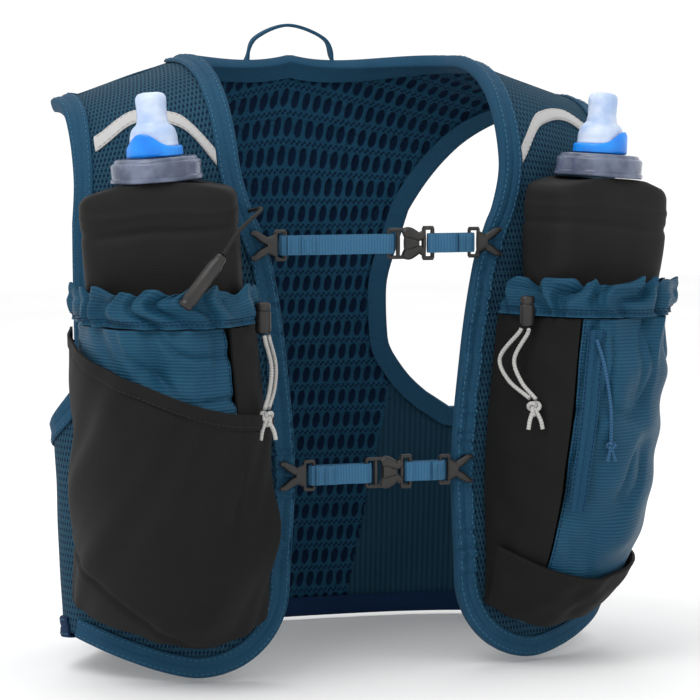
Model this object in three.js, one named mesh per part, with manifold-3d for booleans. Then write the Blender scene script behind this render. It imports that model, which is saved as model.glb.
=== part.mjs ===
// A running hydration vest with two soft flasks in its chest pockets, worn shape, in millimetres.
// +Z is up and the wearer faces -Y, so the wearer's right is at -X. The origin is midway between the
// shoulders, at the height where the vest sits on them.
import * as THREE from "three";
import { mergeVertices } from "three/addons/utils/BufferGeometryUtils.js";
import Module from "manifold-3d";

const wasm = await Module();
wasm.setup();

// The worn form: a rounded chest section that arches over the shoulders.
const CHEST_HALF = 163;
const WAIST_HALF = 153;
const CHEST_FRONT = 92;
const WAIST_FRONT = 88;
const CHEST_BACK = 70;
const WAIST_BACK = 72;
const SPRING_HEIGHT = 235; // hem to where the shoulder arch starts
const NECK_HALF = 76;
const NECK_RIDGE_HEIGHT = 318;
const STRAP_HALF = 148; // centre line to the outer edge of a shoulder
const ARM_RIDGE_HEIGHT = 294;
const SECTION_ROUND = 2.8;
const ARCH_ROUND = 2.5;
const COLLAR_BACK = 51; // how far the collar's middle lies behind the shoulders
const SEAT_HEIGHT = (NECK_RIDGE_HEIGHT + ARM_RIDGE_HEIGHT) / 2;

// Cloth.
const PANEL_WALL = 3.5;
const TAPE_WALL = 1;
const TAPE_WIDTH = 9;
const TAPE_SLOT = 0.7; // free space between a tape and the panel it wraps
const CLOTH_WALL = 1.4;
const SEAM_GAP = 0.35;

// Front panel hem.
const HEM_CORNER = 44;
const HEM_RISE = 18; // the hem's rise from its lowest point to the side seam

// Pockets.
const POCKET_DEPTH = 66;
const POCKET_FACING = THREE.MathUtils.degToRad(17);
const POCKET_ROUND = 2.7;
const POCKET_BOTTOM = 14;
const POCKET_TOP = 186;
const RUFFLE_HEIGHT = 20;
const RUFFLE_FOLDS = 13;
const RUFFLE_SWING = 1.3;
const OVERLAY_ARM_TOP = 182;
const OVERLAY_FRONT_TOP = 132;
const TOE_FRONT_TOP = 44;
const TOE_ARM_TOP = 26;
const ZIP_WIDTH = 11;
const ZIP_FOOT = 76;
const ZIP_TOP = 180;

// Flask.
const FLASK_WIDTH = 79;
const FLASK_DEPTH = 46;
const FLASK_HEIGHT = 186; // the sleeved bag, without the cap
const FLASK_BOTTOM = 72;
const FLASK_OUT = 108; // centre line to the flask's axis at its bottom
const FLASK_FORWARD = 106.4; // shoulders to the flask's axis at its bottom
const FLASK_TURN = THREE.MathUtils.degToRad(20);
const FLASK_LEAN_OUT = THREE.MathUtils.degToRad(4);
const FLASK_LEAN_BACK = THREE.MathUtils.degToRad(0.5);
const CAP_RADIUS = 23.5;
const CAP_HEIGHT = 12;
const STEM_RADIUS = 5; // the cap's spout, on which the valve turns
const STEM_HEIGHT = 16;
const VALVE_RADIUS = 12.4;
const VALVE_NECK_RADIUS = 7.8;
const VALVE_COLLAR_HEIGHT = 5;
const NOZZLE_HEIGHT = 27;
const TAB_WIDTH = 11;
const TAB_HEIGHT = 9;
const TAB_WALL = 2;
const RUN_GAP = 0.35;

// Chest straps and their hardware.
const WEB_WIDTH = 10.5;
const WEB_WALL = 1.2;
const BAR = 1.6; // square bar that webbing is folded round
const HARD_WALL = 3.6;
const RAIL = 2.2; // sides of the frames round a bar
const UPPER_STRAP_HEIGHT = 224;
const LOWER_STRAP_HEIGHT = 104;
const CLIP_LENGTH = 20;
const CLIP_HEIGHT = 16;
const CLIP_OVER_EDGE = 9; // how far a clip reaches over the panel's edge
const FRAME_LENGTH = 9;
const PRONG_LENGTH = 9;
const SOCKET_LENGTH = 13;
const SOCKET_HEIGHT = 18;
const SOCKET_WALL = 1.3;
const UPPER_BUCKLE_PLACE = 14; // centre line to the face of the socket
const LOWER_BUCKLE_PLACE = 2;

// Trim and cords.
const LOOP_SPAN = 48;
const LOOP_RISE = 15; // above the collar
const LOOP_WIDTH = 5;
const LOOP_WALL = 1.8;
const REFLECTOR_WIDTH = 7;
const REFLECTOR_WALL = 1;
const CORD_DIAMETER = 2.2;
const PULL_DIAMETER = 2;
const KNOT_RADIUS = 3.4;
const TAIL_LENGTH = 11;
const TAIL_SPREAD = 4;
const LOCK_RADIUS = 4.2;
const LOCK_HEIGHT = 16;
const WHISTLE_LENGTH = 32;
const WHISTLE_RADIUS = 3.8;
const WHISTLE_HANG = 247; // hem to where its cord leaves the panel

const { lerp, degToRad, clamp } = THREE.MathUtils;

const FABRIC = material(0x1b5378, 0.85, 0);
const MESH_CLOTH = material(0x1a4763, 0.9, 0);
const TAPE = material(0x1e5273, 0.8, 0);
const BLACK_CLOTH = material(0x2a2a2b, 0.85, 0);
const BLACK_PLASTIC = material(0x2b2827, 0.5, 0);
const WEBBING = material(0x2f6f98, 0.8, 0);
const SILVER = material(0xd8d3d0, 0.5, 0);
const CLEAR = material(0x8c90a0, 0.2, 0);
const BLUE_PLASTIC = material(0x1478d8, 0.4, 0);
const SILICONE = material(0xc9d8ee, 0.4, 0);
const GREY_CORD = material(0xb9b8b6, 0.7, 0);

const vest = new THREE.Group();
vest.position.z = -SEAT_HEIGHT;

function material(color, roughness, metalness) {
  return new THREE.MeshStandardMaterial({ color, roughness, metalness });
}

function addPiece(name, geometry, finish, parent = vest) {
  const piece = new THREE.Mesh(geometry, finish);
  piece.name = name;
  parent.add(piece);
  return piece;
}

// Value of a table's column at a place along its first column, straight between rows.
function fromTable(table, place, key, column) {
  const last = table.length - 1;
  const next = clamp(table.findIndex((row) => row[key] >= place), 1, last);
  const high = place >= table[last][key] ? last : next;
  const [a, b] = [table[high - 1], table[high]];
  const share = clamp((place - a[key]) / (b[key] - a[key]), 0, 1);
  return lerp(a[column], b[column], share);
}

// A point of a unit square with rounded sides, at an angle from its first axis. A round of 2 gives a
// circle, and more gives squarer corners.
function squircle(angle, round) {
  const [c, s] = [Math.cos(angle), Math.sin(angle)];
  const size = (Math.abs(c) ** round + Math.abs(s) ** round) ** (-1 / round);
  return [c * size, s * size];
}

// The angle of the point at this share along the second axis, and at this one along the first.
const angleAcross = (share, round) => Math.atan2(share, (1 - share ** round) ** (1 / round));
const angleAlong = (share, round) => Math.PI / 2 - angleAcross(share, round);

// The body's surface. angle runs from 0 at the middle of the back, by pi/2 at the side, to pi at the
// middle of the front; level runs from 0 at the hem, by 1 where the arch starts, to 2 on the shoulder.
function body(angle, level) {
  const wall = Math.min(level, 1);
  const arch = (Math.max(level - 1, 0) * Math.PI) / 2;
  const inFront = Math.abs(angle) > Math.PI / 2;
  const depth = inFront ? lerp(WAIST_FRONT, CHEST_FRONT, wall) : lerp(WAIST_BACK, CHEST_BACK, wall);
  const [behind, across] = squircle(angle, SECTION_ROUND);
  const [inwards, upwards] = squircle(arch, ARCH_ROUND);
  const x = lerp(WAIST_HALF, CHEST_HALF, wall) * across;
  const y = depth * behind * inwards;
  const slope = (NECK_RIDGE_HEIGHT - ARM_RIDGE_HEIGHT) / (STRAP_HALF - NECK_HALF);
  const rise = NECK_RIDGE_HEIGHT - SPRING_HEIGHT - slope * (Math.abs(x) - NECK_HALF);
  return new THREE.Vector3(x, y, wall * SPRING_HEIGHT + rise * upwards);
}

const STEP = 1e-3;

// Directions along the two ways of the surface, and out of it.
function bodyAxes(angle, level) {
  const around = body(angle + STEP, level).sub(body(angle - STEP, level)).divideScalar(2 * STEP);
  const up = body(angle, level + STEP).sub(body(angle, level - STEP)).divideScalar(2 * STEP);
  const out = new THREE.Vector3().crossVectors(up, around).normalize();
  return { around, up, out };
}

// A point of the surface moved out of it by a distance.
function onBody({ angle, level }, outward) {
  return body(angle, level).addScaledVector(bodyAxes(angle, level).out, outward);
}

const STEPPED_ROUNDS = 4;

// The place on the surface that a step in space leads to.
function stepped(place, step) {
  const target = body(place.angle, place.level).add(step);
  let { angle, level } = place;
  for (let round = 0; round < STEPPED_ROUNDS; round++) {
    const { around, up } = bodyAxes(angle, level);
    const left = target.clone().sub(body(angle, level));
    const [aa, au, uu] = [around.dot(around), around.dot(up), up.dot(up)];
    const [la, lu] = [left.dot(around), left.dot(up)];
    const scale = aa * uu - au * au;
    angle += (la * uu - lu * au) / scale;
    level += (lu * aa - la * au) / scale;
  }
  return { angle, level };
}

const bodyHalf = (level) => lerp(WAIST_HALF, CHEST_HALF, Math.min(level, 1));
const backAngle = (x, level) => angleAcross(clamp(x / bodyHalf(level), 0, 1), SECTION_ROUND);
const frontAngle = (x, level) => Math.PI - backAngle(x, level);

const mirrored = (point) => point.clone().setX(-point.x);

// A closed wall between two grids of points. wrap joins the last row to the first. From the column
// turnFrom on, squares are split along their other diagonal.
function wallBetween(outer, inner, { wrap = false, turnFrom = Infinity } = {}) {
  const rows = outer.length;
  const columns = outer[0].length;
  const points = [...outer.flat(), ...inner.flat()];
  const half = rows * columns;
  const index = (side, row, column) => side * half + (row % rows) * columns + column;
  const faces = [];
  const quad = (a, b, c, d) => faces.push(a, b, c, a, c, d);
  const lastRow = wrap ? rows : rows - 1;
  for (let r = 0; r < lastRow; r++) {
    for (let c = 0; c < columns - 1; c++) {
      const corners = [[r, c], [r, c + 1], [r + 1, c + 1], [r + 1, c]];
      if (c >= turnFrom) corners.push(corners.shift());
      quad(...corners.map((at) => index(0, ...at)));
      const [a, b, d, e] = corners.map((at) => index(1, ...at));
      quad(a, e, d, b);
    }
    quad(index(0, r, 0), index(0, r + 1, 0), index(1, r + 1, 0), index(1, r, 0));
    const e = columns - 1;
    quad(index(0, r, e), index(1, r, e), index(1, r + 1, e), index(0, r + 1, e));
  }
  for (let c = 0; !wrap && c < columns - 1; c++) {
    quad(index(0, 0, c), index(1, 0, c), index(1, 0, c + 1), index(0, 0, c + 1));
    const e = rows - 1;
    quad(index(0, e, c), index(0, e, c + 1), index(1, e, c + 1), index(1, e, c));
  }
  return facingOut(points, faces);
}

// Geometry of a closed solid, its faces turned over if they point inwards.
function facingOut(points, faces) {
  let volume = 0;
  for (let i = 0; i < faces.length; i += 3) {
    const [a, b, c] = [points[faces[i]], points[faces[i + 1]], points[faces[i + 2]]];
    volume += a.dot(new THREE.Vector3().crossVectors(b, c));
  }
  if (volume < 0) {
    for (let i = 0; i < faces.length; i += 3) [faces[i], faces[i + 1]] = [faces[i + 1], faces[i]];
  }
  const geometry = new THREE.BufferGeometry().setFromPoints(points);
  geometry.setIndex(faces);
  geometry.computeVertexNormals();
  return geometry;
}

// A closed solid through rings of points, with a fan over each end.
function loft(rings) {
  const sides = rings[0].length;
  const points = rings.flat();
  const faces = [];
  for (let r = 0; r < rings.length - 1; r++) {
    for (let s = 0; s < sides; s++) {
      const [a, b] = [r * sides + s, r * sides + ((s + 1) % sides)];
      faces.push(a, b, b + sides, a, b + sides, a + sides);
    }
  }
  for (const [ring, turn] of [[0, false], [rings.length - 1, true]]) {
    const centre = rings[ring].reduce((sum, p) => sum.add(p), new THREE.Vector3());
    points.push(centre.divideScalar(sides));
    for (let s = 0; s < sides; s++) {
      const [a, b] = [ring * sides + s, ring * sides + ((s + 1) % sides)];
      faces.push(...(turn ? [a, b, points.length - 1] : [b, a, points.length - 1]));
    }
  }
  return facingOut(points, faces);
}

const mirroredGeometry = (geometry) => {
  const source = geometry.index ? geometry : mergeVertices(geometry);
  const position = source.getAttribute("position");
  const points = [];
  for (let i = 0; i < position.count; i++) {
    points.push(new THREE.Vector3(-position.getX(i), position.getY(i), position.getZ(i)));
  }
  return facingOut(points, [...source.index.array]);
};

// Solids for joining and cutting.
function solidOf(geometry) {
  const bare = new THREE.BufferGeometry().setAttribute("position", geometry.getAttribute("position"));
  if (geometry.index) bare.setIndex(geometry.index);
  const merged = mergeVertices(bare, 1e-4);
  return new wasm.Manifold(
    new wasm.Mesh({
      numProp: 3,
      vertProperties: merged.getAttribute("position").array,
      triVerts: new Uint32Array(merged.index.array),
    }),
  );
}

function geometryOf(solid) {
  const { vertProperties, triVerts } = solid.getMesh();
  const geometry = new THREE.BufferGeometry();
  geometry.setAttribute("position", new THREE.BufferAttribute(vertProperties, 3));
  geometry.setIndex(new THREE.BufferAttribute(triVerts, 1));
  return geometry;
}

const joined = (...pieces) => geometryOf(pieces.map(solidOf).reduce((a, b) => a.add(b)));

// A piece less its neighbours' room. Crumbs that come off are dropped.
function cut(piece, ...tools) {
  const left = tools.map(solidOf).reduce((a, b) => a.subtract(b), solidOf(piece));
  const bodies = left.decompose().sort((a, b) => b.volume() - a.volume());
  return geometryOf(bodies[0]);
}

// A grid of points with its rim moved outwards by a distance, square to the rim.
function widened(grid, distance) {
  const [rows, columns] = [grid.length - 1, grid[0].length - 1];
  const point = (r, c) => grid[clamp(r, 0, rows)][clamp(c, 0, columns)];
  const moved = (r, c) => {
    const [rowEnd, columnEnd] = [r === 0 || r === rows, c === 0 || c === columns];
    const here = point(r, c).clone();
    const inwards = new THREE.Vector3();
    if (rowEnd) inwards.add(square(point(r ? r - 1 : 1, c), here, point(r, c - 1), point(r, c + 1)));
    if (columnEnd) inwards.add(square(point(r, c ? c - 1 : 1), here, point(r - 1, c), point(r + 1, c)));
    return here.addScaledVector(inwards, -distance);
  };
  return grid.map((row, r) => row.map((_, c) => moved(r, c)));
}

// The unit direction from here to a point inside, square to the line through the rim's neighbours.
function square(inside, here, before, after) {
  const rim = after.clone().sub(before).normalize();
  const inwards = inside.clone().sub(here);
  return inwards.addScaledVector(rim, -inwards.dot(rim)).normalize();
}

// The room that a panel needs: its solid and a gap all round.
function room(gridAt, options) {
  const outer = widened(gridAt(PANEL_WALL + SEAM_GAP), SEAM_GAP);
  const inner = widened(gridAt(-SEAM_GAP), SEAM_GAP);
  return wallBetween(outer, inner, options);
}

// Back panel: from the hem to the collar and the shoulder ridge, notched for the arms.
const BACK_ROWS = [
  { level: 0, edge: 0.8 },
  { level: 0.18, edge: 0.76 },
  { level: 0.36, edge: 0.7 },
  { level: 0.5, edge: 0.64 },
  { level: 0.54, edge: 0.55 },
  { level: 0.6, edge: 0.46 },
  { level: 0.68, edge: 0.395 },
  { level: 0.8, edge: 0.385 },
  { level: 0.95, edge: 0.44 },
  { level: 1.1, edge: 0.51 },
  { level: 1.3, edge: 0.62 },
  { level: 1.55, edge: 0.77 },
  { level: 1.8, edge: 0.88 },
  { level: 2, edge: STRAP_HALF / CHEST_HALF },
];
const ARMHOLE_ROW = 3;
const COLUMN_FAN = 2; // how late the columns turn from even spacing to their places on the collar
const COLLAR_COLUMNS = 6;
const RIDGE_COLUMNS = 3;

// How high the collar crosses the surface, this far from the middle of the back.
function collarLevel(x) {
  const behind = COLLAR_BACK * Math.sqrt(Math.max(1 - (x / NECK_HALF) ** 2, 0));
  const full = CHEST_BACK * squircle(backAngle(x, 2), SECTION_ROUND)[0];
  return 1 + (2 / Math.PI) * angleAlong(clamp(behind / full, 0, 1), ARCH_ROUND);
}

// Column places of half the back, as shares of its edge, with the highest level of each.
const BACK_COLUMNS = [
  ...Array.from({ length: COLLAR_COLUMNS + 1 }, (_, i) => {
    const x = NECK_HALF * Math.sin((i / COLLAR_COLUMNS) * (Math.PI / 2));
    return { share: x / STRAP_HALF, top: collarLevel(x) };
  }),
  ...Array.from({ length: RIDGE_COLUMNS }, (_, i) => {
    const x = lerp(NECK_HALF, STRAP_HALF, (i + 1) / RIDGE_COLUMNS);
    return { share: x / STRAP_HALF, top: 2 };
  }),
];

function backPlace(row, column) {
  const { share: topShare, top } = BACK_COLUMNS[column];
  const level = (BACK_ROWS[row].level / 2) * top;
  const fan = (BACK_ROWS[row].level / 2) ** COLUMN_FAN;
  const share = lerp(column / (BACK_COLUMNS.length - 1), topShare, fan);
  const x = share * BACK_ROWS[row].edge * bodyHalf(level);
  return { angle: backAngle(x, level), level };
}

function backGrid(outward) {
  return BACK_ROWS.map((_, row) => {
    const half = BACK_COLUMNS.map((_, column) => onBody(backPlace(row, column), outward));
    half[0].x = 0;
    return [...half.slice(1).reverse().map(mirrored), ...half];
  });
}
const backMiddle = { turnFrom: BACK_COLUMNS.length - 1 };
addPiece("back_panel", wallBetween(backGrid(PANEL_WALL), backGrid(0), backMiddle), MESH_CLOTH);

// Front panels: from the rounded hem to the shoulder ridge.
const FRONT_ROWS = [
  { level: 0, middle: 0.325, arm: 0.955 },
  { level: 0.22, middle: 0.31, arm: 0.94 },
  { level: 0.45, middle: 0.29, arm: 0.93 },
  { level: 0.7, middle: 0.315, arm: 0.92 },
  { level: 0.9, middle: 0.355, arm: 0.915 },
  { level: 1.05, middle: 0.42, arm: 0.91 },
  { level: 1.25, middle: 0.455, arm: 0.905 },
  { level: 2, middle: NECK_HALF / CHEST_HALF, arm: STRAP_HALF / CHEST_HALF },
];
const FRONT_COLUMN_SHARES = [0, 0.03, 0.09, 0.2, 0.35, 0.55, 0.78, 1];
const FRONT_ROW_COUNT = 15;

const frontEdge = (level, column) => fromTable(FRONT_ROWS, level, "level", column) * bodyHalf(level);

// The hem's level: a round corner at the opening, then a slow rise to the side seam.
function hemLevel(share) {
  const width = frontEdge(0, "arm") - frontEdge(0, "middle");
  const along = share * width;
  const into = Math.max(HEM_CORNER - along, 0);
  const corner = HEM_CORNER - Math.sqrt(HEM_CORNER ** 2 - into ** 2);
  const rise = HEM_RISE * Math.max((along - HEM_CORNER) / (width - HEM_CORNER), 0) ** 1.5;
  return (corner + rise) / SPRING_HEIGHT;
}

function frontPlace(row, share) {
  const level = lerp(hemLevel(share), 2, row / FRONT_ROW_COUNT);
  const x = lerp(frontEdge(level, "middle"), frontEdge(level, "arm"), share);
  return { angle: frontAngle(x, level), level };
}

// The place on the opening's edge at a level.
const frontPlaceAt = (level) => ({ angle: frontAngle(frontEdge(level, "middle"), level), level });

const countTo = (last) => Array.from({ length: last + 1 }, (_, i) => i);

function frontGrid(outward) {
  const seam = (row) => (row === FRONT_ROW_COUNT ? SEAM_GAP : 0);
  return countTo(FRONT_ROW_COUNT).map((row) =>
    FRONT_COLUMN_SHARES.map((share) => {
      const point = onBody(frontPlace(row, share), outward);
      point.y -= seam(row);
      return point;
    }),
  );
}
const frontPanel = wallBetween(frontGrid(PANEL_WALL), frontGrid(0));
addPiece("front_panel_left", frontPanel, MESH_CLOTH);
addPiece("front_panel_right", mirroredGeometry(frontPanel), MESH_CLOTH);
const backRoom = room(backGrid, backMiddle);
const frontRoom = room(frontGrid);

// Flanks: under the arms, between the back panel's side seam and the front panel's.
const FLANK_COLUMNS = 9;
const ARMPIT_RISE = 0.14; // how many levels the arm opening climbs to the front panel's edge

function flankPlace(row, column) {
  const share = column / FLANK_COLUMNS;
  const bottom = hemLevel(1) * share;
  const top = BACK_ROWS[ARMHOLE_ROW].level + ARMPIT_RISE * share ** 6;
  const { level: rowLevel, edge } = BACK_ROWS[row];
  const level = lerp(bottom, top, rowLevel / BACK_ROWS[ARMHOLE_ROW].level);
  const back = backAngle(edge * bodyHalf(rowLevel), rowLevel);
  const front = frontAngle(frontEdge(level, "arm"), level);
  return { angle: lerp(back, front, share), level };
}

const flankGrid = (outward) =>
  countTo(ARMHOLE_ROW).map((row) =>
    countTo(FLANK_COLUMNS).map((column) => onBody(flankPlace(row, column), outward)),
  );
const flank = wallBetween(flankGrid(PANEL_WALL), flankGrid(0));
const frontRooms = { left: frontRoom, right: mirroredGeometry(frontRoom) };
addPiece("flank_left", cut(flank, backRoom, frontRooms.left), MESH_CLOTH);
addPiece("flank_right", cut(mirroredGeometry(flank), backRoom, frontRooms.right), MESH_CLOTH);
const flankRoom = room(flankGrid);
const leftRooms = [backRoom, frontRooms.left, flankRoom];
const rightRooms = [backRoom, frontRooms.right, mirroredGeometry(flankRoom)];
const allRooms = [...leftRooms, ...rightRooms.slice(1)];

// Edge tape: a folded strip round a panel's edge. path holds places on the body, and inward says
// on which side of the path the panel lies.
function tape(path, { wrap = false, inward = 1 } = {}) {
  const outer = [];
  const inner = [];
  const high = PANEL_WALL + TAPE_SLOT;
  const [top, bottom] = [high + TAPE_WALL, -TAPE_SLOT - TAPE_WALL];
  const at = (k) => {
    const place = path[wrap ? (k + path.length) % path.length : clamp(k, 0, path.length - 1)];
    return body(place.angle, place.level);
  };
  path.forEach((place, i) => {
    const along = at(i + 1).sub(at(i - 1));
    const { out } = bodyAxes(place.angle, place.level);
    const into = new THREE.Vector3().crossVectors(out, along).setLength(inward);
    const moved = (distance) => stepped(place, into.clone().multiplyScalar(distance));
    const [leaf, edge, fold] = [moved(TAPE_WIDTH), moved(-TAPE_SLOT), moved(-TAPE_SLOT - TAPE_WALL)];
    const low = -TAPE_SLOT;
    outer.push([onBody(leaf, top), onBody(fold, top), onBody(fold, bottom), onBody(leaf, bottom)]);
    inner.push([onBody(leaf, high), onBody(edge, high), onBody(edge, low), onBody(leaf, low)]);
  });
  return wallBetween(outer, inner, { wrap });
}

const otherSide = ({ angle, level }) => ({ angle: -angle, level });
const bothSides = (path) => [...path, ...path.slice(0, -1).reverse().map(otherSide)];

const openingPath = [
  ...FRONT_COLUMN_SHARES.slice().reverse().map((share) => frontPlace(0, share)),
  ...countTo(FRONT_ROW_COUNT).slice(1).map((row) => frontPlace(row, 0)),
  ...countTo(COLLAR_COLUMNS - 1).reverse().map((column) => backPlace(BACK_ROWS.length - 1, column)),
];
addPiece("front_and_neck_tape", cut(tape(bothSides(openingPath), { inward: -1 }), ...allRooms), TAPE);

const HEM_TAPE_SHORT = 0.35; // how far the tape stops before the side seam, in flank columns
const hemPath = [
  flankPlace(0, FLANK_COLUMNS - HEM_TAPE_SHORT),
  ...countTo(FLANK_COLUMNS - 1).reverse().map((column) => flankPlace(0, column)),
  ...countTo(BACK_COLUMNS.length - 1).reverse().slice(1).map((column) => backPlace(0, column)),
];
addPiece("back_hem_tape", cut(tape(bothSides(hemPath)), ...allRooms), TAPE);

const armPath = [
  ...countTo(FLANK_COLUMNS).map((column) => flankPlace(ARMHOLE_ROW, column)),
  ...countTo(FRONT_ROW_COUNT)
    .map((row) => frontPlace(row, 1))
    .filter(({ level }) => level > BACK_ROWS[ARMHOLE_ROW].level + 1.2 * ARMPIT_RISE),
  ...BACK_ROWS.map((_, row) => backPlace(row, BACK_COLUMNS.length - 1))
    .slice(ARMHOLE_ROW + 1, -1)
    .reverse(),
];
const armTape = tape(armPath, { wrap: true });
addPiece("arm_tape_left", cut(armTape, ...leftRooms), TAPE);
addPiece("arm_tape_right", cut(mirroredGeometry(armTape), ...rightRooms), TAPE);

// Pockets: bags standing out of the front panels. round runs from 0 at the opening side to pi at
// the arm side, and up from 0 at the pocket's bottom to 1 at its gathered top.
const POCKET_ROWS = [
  { up: 0, depth: 0.05 },
  { up: 0.05, depth: 0.27 },
  { up: 0.14, depth: 0.52 },
  { up: 0.3, depth: 0.75 },
  { up: 0.5, depth: 0.92 },
  { up: 0.75, depth: 1 },
  { up: 1, depth: 1 },
  { up: 1.13, depth: 1.04 },
];
const POCKET_MARGIN = 0.13; // the pocket's distance from the opening, as a share of the panel's width
const facing = new THREE.Vector3(Math.sin(POCKET_FACING), -Math.cos(POCKET_FACING), 0);

function pocketBase(round, up) {
  const [towards, bulge] = squircle(round, POCKET_ROUND);
  const across = 0.5 - 0.5 * towards;
  const share = lerp(POCKET_MARGIN, 0.985, across);
  const level = lerp(hemLevel(share) + POCKET_BOTTOM / SPRING_HEIGHT, POCKET_TOP / SPRING_HEIGHT, up);
  const x = lerp(frontEdge(level, "middle"), frontEdge(level, "arm"), share);
  const seat = onBody({ angle: frontAngle(x, level), level }, PANEL_WALL + SEAM_GAP + CLOTH_WALL);
  const depth = POCKET_DEPTH * fromTable(POCKET_ROWS, up, "up", "depth");
  return seat.addScaledVector(facing, depth * bulge);
}

function pocketOut(round, up) {
  const small = 0.01;
  const across = pocketBase(round + small, up).sub(pocketBase(round - small, up));
  const along = pocketBase(round, up + small).sub(pocketBase(round, up - small));
  return new THREE.Vector3().crossVectors(across, along).normalize();
}

function onPocket(round, up, outward) {
  return pocketBase(round, up).addScaledVector(pocketOut(round, up), outward);
}

// Cloth over part of a pocket, at these rounds. upAt gives how high a row lies at a share of the way
// round, and lift how far the cloth's inner face lies off the bag.
function pocketCloth(rounds, rows, upAt, { lift = -CLOTH_WALL, wall = CLOTH_WALL, swell = () => 0 } = {}) {
  const grid = (outward) =>
    countTo(rows).map((row) =>
      rounds.map((round, i) => {
        const [r, c] = [row / rows, i / (rounds.length - 1)];
        return onPocket(round, upAt(r, c), outward + swell(r, c));
      }),
    );
  return wallBetween(grid(lift + wall), grid(lift));
}

const spread = (from, to, parts) => countTo(parts).map((i) => lerp(from, to, i / parts));

const EDGE_ROUND = 0.06;
const GUSSET_ROUND = degToRad(50);
const SEAM_ROUND = 0.02;
const POCKET_FOOT = 0.02;
const BAG_ROWS = 8;
const GUSSET_ROUNDS = spread(EDGE_ROUND, GUSSET_ROUND, 3);
const FACE_ROUNDS = spread(GUSSET_ROUND + SEAM_ROUND, Math.PI - EDGE_ROUND, 9);

const gusset = pocketCloth(GUSSET_ROUNDS, BAG_ROWS, (r) => lerp(POCKET_FOOT, 1, r));
addPiece("pocket_gusset_left", gusset, BLACK_CLOTH);
addPiece("pocket_gusset_right", mirroredGeometry(gusset), BLACK_CLOTH);

const pocketFace = pocketCloth(FACE_ROUNDS, BAG_ROWS, (r) => lerp(POCKET_FOOT, 1, r));
addPiece("pocket_face_left", pocketFace, FABRIC);
addPiece("pocket_face_right", mirroredGeometry(pocketFace), FABRIC);

// The gathered top of a pocket: an upright frill, wavy round the pocket.
const RUFFLE_ROUNDS = spread(2 * EDGE_ROUND, Math.PI - 2 * EDGE_ROUND, 2 * RUFFLE_FOLDS);
const fold = (c) => Math.cos(2 * Math.PI * RUFFLE_FOLDS * c);
const ruffle = pocketCloth(
  RUFFLE_ROUNDS,
  2,
  (r, c) => 1 + (2 * SEAM_GAP + r * (RUFFLE_HEIGHT + fold(c))) / POCKET_TOP,
  {
    lift: RUFFLE_SWING - CLOTH_WALL,
    swell: (r, c) => RUFFLE_SWING * fold(c) * Math.sin(Math.PI * lerp(0.2, 0.8, r)),
  },
);
addPiece("pocket_ruffle_left", ruffle, FABRIC);
addPiece("pocket_ruffle_right", mirroredGeometry(ruffle), FABRIC);

// The right pocket's stretch overlay, whose mouth slants down to the opening.
const COVER_LIFT = 1.2;
const COVER_ROUNDS = [...GUSSET_ROUNDS.slice(1, -1), ...FACE_ROUNDS.slice(0, -1), Math.PI - 2 * EDGE_ROUND];
const mouthUp = (c) => lerp(OVERLAY_FRONT_TOP, OVERLAY_ARM_TOP, c ** 1.3) / POCKET_TOP;
const overlay = pocketCloth(COVER_ROUNDS, BAG_ROWS, (r, c) => lerp(2 * POCKET_FOOT, mouthUp(c), r), {
  lift: COVER_LIFT,
});
addPiece("pocket_overlay_right", mirroredGeometry(overlay), BLACK_CLOTH);

// The left pocket's dark toe and its zip.
const toe = pocketCloth(
  COVER_ROUNDS,
  2,
  (r, c) => lerp(2 * POCKET_FOOT, lerp(TOE_FRONT_TOP, TOE_ARM_TOP, c) / POCKET_TOP, r),
  { lift: COVER_LIFT },
);
addPiece("pocket_toe_left", toe, BLACK_CLOTH);

const zipRound = (0.9 * ZIP_WIDTH) / POCKET_DEPTH;
const zip = pocketCloth(
  spread(FACE_ROUNDS[0] + EDGE_ROUND, FACE_ROUNDS[0] + EDGE_ROUND + zipRound, 2),
  8,
  (r) => lerp(ZIP_FOOT, ZIP_TOP, r) / POCKET_TOP,
  { lift: 2 * SEAM_GAP, wall: TAPE_WALL },
);
addPiece("pocket_zip_left", zip, TAPE);

// A solid turned about the z axis from a profile of radius and height. A radius of 0 closes it on
// the axis, and ringed joins the last point to the first.
function turned(profile, sides, ringed = false) {
  const points = [];
  const rings = profile.map(({ radius, height }) =>
    countTo(radius ? sides - 1 : 0).map((i) => {
      const angle = (2 * Math.PI * i) / sides;
      points.push(new THREE.Vector3(radius * Math.cos(angle), radius * Math.sin(angle), height));
      return points.length - 1;
    }),
  );
  const faces = [];
  const join = (low, high) => {
    for (let i = 0; i < sides; i++) {
      const [a, b] = [low[i % low.length], low[(i + 1) % low.length]];
      const [c, d] = [high[i % high.length], high[(i + 1) % high.length]];
      if (a !== b) faces.push(a, b, d);
      if (c !== d) faces.push(a, d, c);
    }
  };
  rings.slice(1).forEach((ring, i) => join(rings[i], ring));
  if (ringed) join(rings[rings.length - 1], rings[0]);
  return facingOut(points, faces);
}

// Flasks: a sleeved bag with squared shoulders, in a frame with its axis on z.
const FLASK_ROWS = [
  { along: 0, width: 0.5, depth: 0.4 },
  { along: 0.03, width: 0.7, depth: 0.6 },
  { along: 0.12, width: 0.84, depth: 0.8 },
  { along: 0.3, width: 0.91, depth: 0.92 },
  { along: 0.55, width: 0.98, depth: 1 },
  { along: 0.8, width: 0.99, depth: 1 },
  { along: 0.9, width: 0.96, depth: 0.98 },
  { along: 0.955, width: 0.88, depth: 0.94 },
  { along: 0.985, width: 0.72, depth: 0.88 },
  { along: 1, width: 0.56, depth: 0.85 },
];
const FLASK_ROUND = 2.6;
const FLASK_SIDES = 20;
const ROUND_SIDES = 18;

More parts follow.
